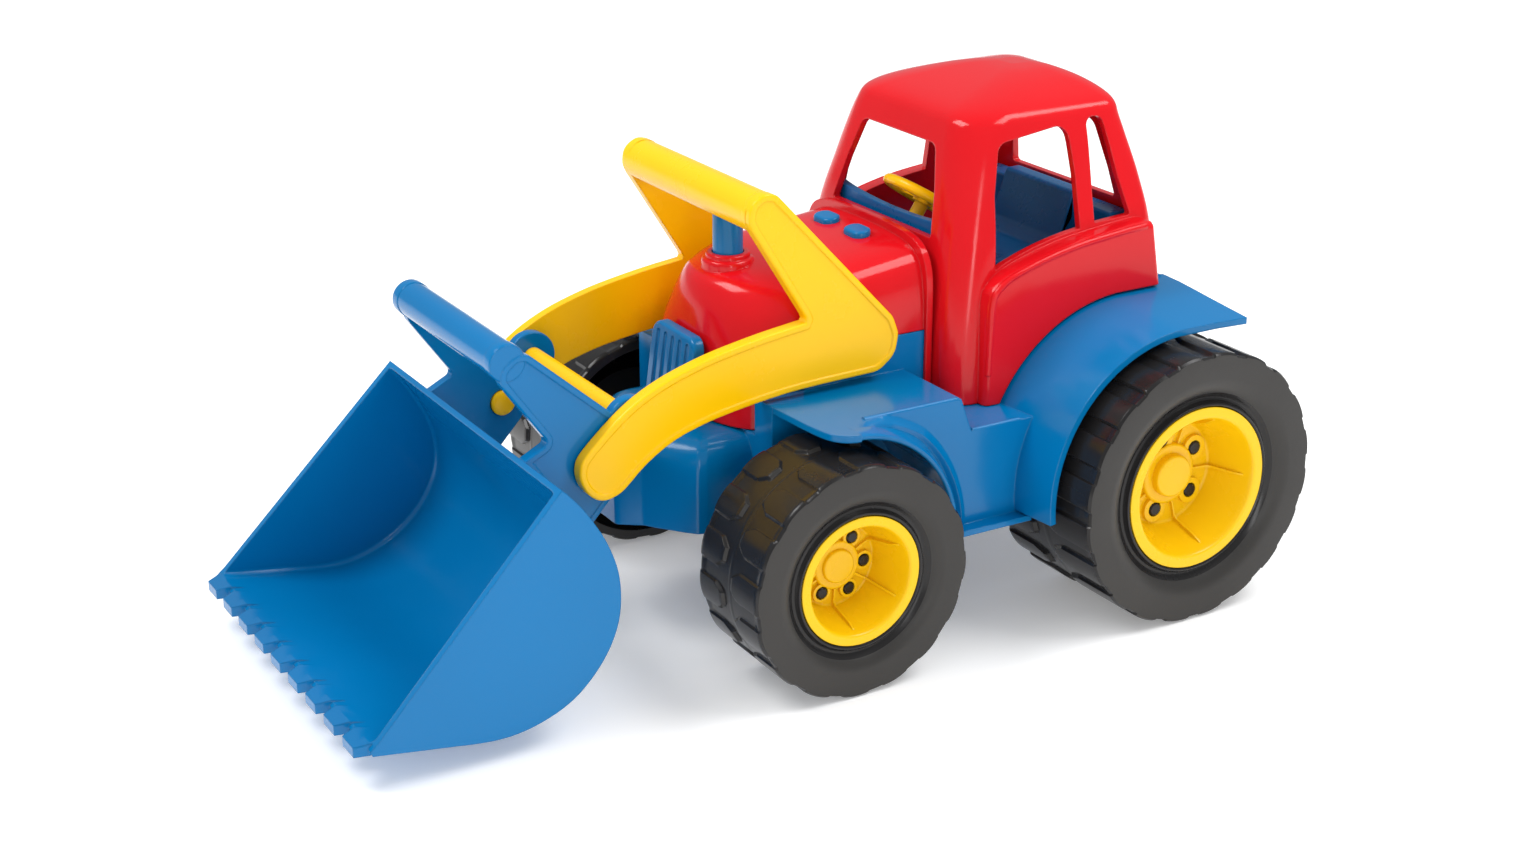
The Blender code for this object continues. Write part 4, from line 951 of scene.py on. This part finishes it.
# x_in and x_out bound the tread. The inner row of lugs ends at inner_tip and the outer row
# starts at outer_tip; each lug narrows over taper. satin_from is the radius where the satin
# side faces start. peg_ring is the radius of the ring of pegs, peg_start its first angle and
# web the x where the pegs start. Angles are in degrees.
# tyre_face, rim, base, boss and rib are profiles of x, radius.
WHEELS = {
    "front": SimpleNamespace(
        y=FRONT_Y, radius=FRONT_R, x_in=61.2, x_out=103.0, lugs=16, phase=108.7,
        inner_tip=77.4, outer_tip=84.4, taper=4.6, depth=1.35, satin_from=30,
        pegs=6, peg_ring=11.6, peg_r=2.25, peg_start=57.0, web=78.0, lobe_r=3.7, lobe_x=84.4,
        tyre_face=[
            (103.05, 43.0), (103.1, 41.0), (103.1, 35.4), (102.8, 33.6), (102.0, 31.8),
            (100.8, 30.2), (99.7, 29.1), (99.3, 28.2), (99.5, 27.3), (100.3, 26.6),
            (101.0, 26.2), (101.1, 25.7), (100.7, 25.15), (80.0, 23.3), (80.0, 9.6),
            (77.2, 9.6), (77.2, 26.2), (96.6, 28.0), (99.0, 32.0), (100.0, 35.0),
            (100.0, 40.2), (61.4, 40.2)],
        rim=[
            (100.9, 21.4), (101.1, 22.0), (101.1, 24.2), (100.8, 24.8), (80.3, 22.95),
            (80.3, 9.2), (56.6, 9.2), (56.6, FRONT_BORE_R), (84.0, FRONT_BORE_R), (84.0, 5.9),
            (83.2, 7.4), (82.9, 8.4), (82.9, 15.6), (83.6, 16.6), (98.6, 20.3), (100.3, 20.8)],
        base=[(82.0, 9.6), (84.3, 9.4), (84.7, 9.0), (84.8, 8.4), (84.8, 0.3)],
        boss=[(82.0, 6.9), (85.4, 6.5), (85.9, 6.3), (86.2, 5.8), (86.25, 0.3)],
        rib=[(81.5, 7.0), (84.1, 7.0), (84.1, 14.6), (85.6, 15.9), (94.5, 18.1), (97.6, 19.9),
             (97.6, 21.4), (82.0, 18.0)]),
    "rear": SimpleNamespace(
        y=REAR_Y, radius=REAR_R, x_in=56.1, x_out=115.3, lugs=20, phase=100.0,
        inner_tip=79.0, outer_tip=89.0, taper=6.0, depth=1.5, satin_from=38,
        pegs=5, peg_ring=15.0, peg_r=2.7, peg_start=33.0, web=89.0, lobe_r=5.2, lobe_x=95.6,
        tyre_face=[
            (115.35, 52.5), (115.4, 50.0), (115.4, 44.5), (115.0, 42.2), (113.9, 39.9),
            (112.4, 38.0), (111.2, 36.8), (110.8, 35.8), (111.1, 34.9), (112.1, 34.2),
            (113.0, 33.9), (113.2, 33.3), (112.8, 32.75), (91.0, 30.7), (91.0, 11.0),
            (88.0, 11.0), (88.0, 33.6), (108.4, 36.0), (110.8, 40.0), (112.2, 44.0),
            (112.2, 49.6), (56.3, 49.6)],
        rim=[
            (113.0, 28.3), (113.3, 29.0), (113.3, 31.8), (113.0, 32.4), (91.3, 30.35),
            (91.3, 10.6), (56.6, 10.6), (56.6, REAR_BORE_R), (95.0, REAR_BORE_R), (95.0, 7.7),
            (94.5, 9.4), (94.1, 10.4), (94.1, 20.2), (95.0, 21.6), (110.8, 27.2), (112.5, 27.7)],
        base=[(93.0, 12.6), (95.9, 12.3), (96.4, 11.8), (96.5, 11.0), (96.5, 0.3)],
        boss=[(93.0, 8.9), (98.6, 8.5), (99.3, 8.2), (99.7, 7.6), (99.8, 0.3)],
        rib=[(92.5, 8.5), (95.4, 8.5), (95.4, 19.2), (97.0, 20.9), (105.5, 23.9),
             (109.0, 26.3), (109.0, 28.0), (93.0, 22.5)]),
}


def lug_offset(spec, angle, stagger):
    """Distance round the tyre from the nearest lug's middle, in pitches."""
    pitch = TURN / spec.lugs
    return ((angle - math.radians(spec.phase)) / pitch + stagger + 0.5) % 1.0 - 0.5


def lug_height(spec, angle, x):
    """1 on a lug and 0 between lugs, with a short slope."""
    best = 0.0
    for from_tip, stagger in ((x - spec.outer_tip, 0.0), (spec.inner_tip - x, 0.5)):
        if from_tip < -0.6:
            continue
        offset = lug_offset(spec, angle, stagger)
        # The end nearest the middle of the tread narrows to a short flat.
        half = LUG_FILL / 2 * (0.50 + 0.50 * min(1.0, max(0.0, from_tip / spec.taper)))
        best = max(best, smoothstep(half + 0.018, half - 0.012, abs(offset))
                   * smoothstep(-0.5, 0.3, from_tip))
    return best


def tread_radius(spec, angle, x):
    pitch = TURN / spec.lugs
    half_lug = pitch * LUG_FILL / 2
    height = lug_height(spec, angle, x)
    end = min(x - spec.x_in, spec.x_out - x)
    shoulder = max(0.0, 1.6 - end) ** 2 * 0.30
    # A lug stands at the full radius along its middle and falls away to both sides.
    stagger = 0.0 if x > (spec.inner_tip + spec.outer_tip) / 2 else 0.5
    offset = lug_offset(spec, angle, stagger) * pitch
    chord = spec.radius * math.cos(half_lug)
    fall = chord / math.cos(min(abs(offset), half_lug)) - chord
    groove = spec.depth * (0.55 + 0.45 * min(1.0, end / 4.0)) * (1 - height)
    # Fine parting line round the middle.
    middle = (spec.x_in + spec.x_out) / 2
    parting = 0.16 * max(0.0, 1.0 - abs(x - middle) / 0.8) * (1 - height)
    return spec.radius - groove - shoulder - height * fall * 1.15 + parting


def tyre_form(spec, side):
    """The tyre as a turned body with two staggered rows of lugs on its tread."""
    segments, columns = spec.lugs * 32, 52
    width = spec.x_out - spec.x_in
    tread_x = [spec.x_in + width * c / columns for c in range(columns + 1)]
    rings = []
    for s in range(segments):
        angle = TURN * s / segments
        section = [(x, tread_radius(spec, angle, x)) for x in tread_x] + spec.tyre_face
        rings.append([(side * x, spec.y + radius * math.cos(angle),
                       spec.radius + radius * math.sin(angle)) for x, radius in section])
    return loft("tyre", rings, loop=True)


def tyre(spec, side, where, peg_places):
    form = tyre_form(spec, side)
    tip = spec.lobe_x + 0.5
    peg = [(spec.web, spec.peg_r), (tip - 0.5, spec.peg_r), (tip, spec.peg_r - 0.5),
           (tip + 0.02, 0.2)]
    for y, z in peg_places:
        join(form, turned_x("peg", peg, y, z, 20, side))
    # Satin side faces, glossier tread.
    dress(form, TYRE, TYRE_SIDE)
    for face in form.data.polygons:
        centre = face.center
        radius = math.hypot(centre.y - (spec.y + Y_SHIFT) * MM, centre.z - spec.radius * MM) / MM
        is_side = abs(face.normal.x) > 0.75 and radius > spec.satin_from
        face.material_index = 1 if is_side else 0
    register(form, "tyre_" + where, "tyre_black", body="wheel_" + where, angle=28)


def rim(spec, side, where, peg_angles, peg_places):
    y, z = spec.y, spec.radius
    rings = []
    for s in range(144):
        angle = TURN * s / 144
        rings.append([(side * x, y + radius * math.cos(angle), z + radius * math.sin(angle))
                      for x, radius in spec.rim])
    form = loft("rim", rings, loop=True)
    for place in peg_places:
        join(form, rod_x("lobe", spec.lobe_r, *span(side, spec.web + 3.5, spec.lobe_x), *place, 32))
    for disc in (spec.base, spec.boss):
        join(form, turned_x("disc", disc, y, z, 64, side))
    # One rib between each pair of pegs.
    for peg_angle in peg_angles:
        angle = peg_angle + math.pi / spec.pegs
        cos, sin = math.cos(angle), math.sin(angle)
        join(form, loft("rib", [[(side * x, y + radius * cos - w * sin, z + radius * sin + w * cos)
                                 for x, radius in spec.rib] for w in (-0.42, 0.42)]))
    hole_x = span(side, spec.web + 1, spec.lobe_x + 3)
    for place in peg_places:
        cut(form, rod_x("peg_hole", spec.peg_r + 0.3, *hole_x, *place, 24))
    tidy(form, 0.002, 0.05)
    publish(form, "rim_" + where, RIM_YELLOW, "plastic_yellow", body="wheel_" + where, angle=45)
    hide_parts("hub_cap_" + where)


def wheel(axle, side):
    spec = WHEELS[axle]
    where = axle + ("_left" if side > 0 else "_right")
    angles = [math.radians(spec.peg_start + 360.0 * k / spec.pegs) for k in range(spec.pegs)]
    places = [(spec.y + spec.peg_ring * math.cos(a), spec.radius + spec.peg_ring * math.sin(a))
              for a in angles]
    tyre(spec, side, where, places)
    rim(spec, side, where, angles, places)


# ------------------------------------------------------------------ floor, light, camera
def floor():
    mat = bpy.data.materials.new("floor_white")
    mat.use_nodes = True
    inputs = mat.node_tree.nodes["Principled BSDF"].inputs
    inputs["Base Color"].default_value = (0.92, 0.92, 0.92, 1)
    inputs["Roughness"].default_value = 0.65
    inputs["Specular IOR Level"].default_value = 0.2
    inputs["Emission Color"].default_value = (1, 1, 1, 1)
    inputs["Emission Strength"].default_value = 0.22
    bm = bmesh.new()
    bmesh.ops.create_grid(bm, x_segments=4, y_segments=4, size=12.0)
    mesh = bpy.data.meshes.new("floor")
    bm.to_mesh(mesh)
    bm.free()
    plane = bpy.data.objects.new("floor", mesh)
    bpy.context.scene.collection.objects.link(plane)
    plane.data.materials.append(mat)


def surroundings():
    world = bpy.data.worlds.new("studio")
    bpy.context.scene.world = world
    world.use_nodes = True
    nodes, links = world.node_tree.nodes, world.node_tree.links
    plain = nodes["Background"]
    plain.inputs["Color"].default_value = (1.0, 1.0, 1.0, 1)
    plain.inputs["Strength"].default_value = 0.86
    # Reflections see a darker room than the diffuse light does, so the lamps read as panels.
    dim = nodes.new("ShaderNodeBackground")
    dim.inputs["Color"].default_value = (0.9, 0.95, 1.0, 1)
    dim.inputs["Strength"].default_value = 0.38
    path = nodes.new("ShaderNodeLightPath")
    mixer = nodes.new("ShaderNodeMixShader")
    links.new(path.outputs["Is Glossy Ray"], mixer.inputs["Fac"])
    links.new(plain.outputs["Background"], mixer.inputs[1])
    links.new(dim.outputs["Background"], mixer.inputs[2])
    links.new(mixer.outputs["Shader"], nodes["World Output"].inputs["Surface"])


def lamp(name, at, size, size_y, power):
    """A rectangular lamp aimed at the tractor; place and size in metres, power in watts."""
    data = bpy.data.lights.new(name, "AREA")
    data.shape = "RECTANGLE"
    data.size = size
    data.size_y = size_y
    data.energy = power
    obj = bpy.data.objects.new(name, data)
    bpy.context.scene.collection.objects.link(obj)
    obj.location = at
    aim = Vector((0.0, 0.0, 0.08)) - Vector(at)
    obj.rotation_euler = aim.to_track_quat("-Z", "Y").to_euler()


def camera():
    """Looks from the front left and above."""
    azimuth, elevation = math.radians(59.21), math.radians(21.27)
    back = Vector((math.sin(azimuth) * math.cos(elevation),
                   -math.cos(azimuth) * math.cos(elevation), math.sin(elevation)))
    right = Vector((0, 0, 1)).cross(back).normalized()
    up = back.cross(right)
    at = metres(716.9256, -405.972, 389.07)
    cam = bpy.data.objects.new("camera", bpy.data.cameras.new("camera"))
    bpy.context.scene.collection.objects.link(cam)
    cam.data.sensor_width = 36.0
    cam.data.lens = 53.34375
    cam.data.clip_start = 0.01
    cam.matrix_world = Matrix((*zip(right, up, back, at), (0, 0, 0, 1)))
    bpy.context.scene.camera = cam


for build in (chassis, bonnet, cab, seat, dashboard, steering_wheel, exhaust_stack, grille,
              loader_arms, bucket, tie_rod):
    build()
for hand in (1, -1):
    plug(hand)
for which in WHEELS:
    for hand in (1, -1):
        wheel(which, hand)
for node_name, node_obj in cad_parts.items():
    if node_name in ("front_axle", "rear_axle") or node_name.startswith("axle_clip"):
        dress(node_obj, STEEL)

floor()
surroundings()
lamp("key", at=(-0.35, -0.75, 1.35), size=0.75, size_y=0.5, power=10.5)
lamp("side", at=(1.40, -0.42, 0.34), size=0.18, size_y=0.7, power=2.4)
lamp("top", at=(0.45, 0.65, 1.25), size=0.9, size_y=0.5, power=9.0)
camera()
bpy.context.scene.view_settings.view_transform = "Standard"
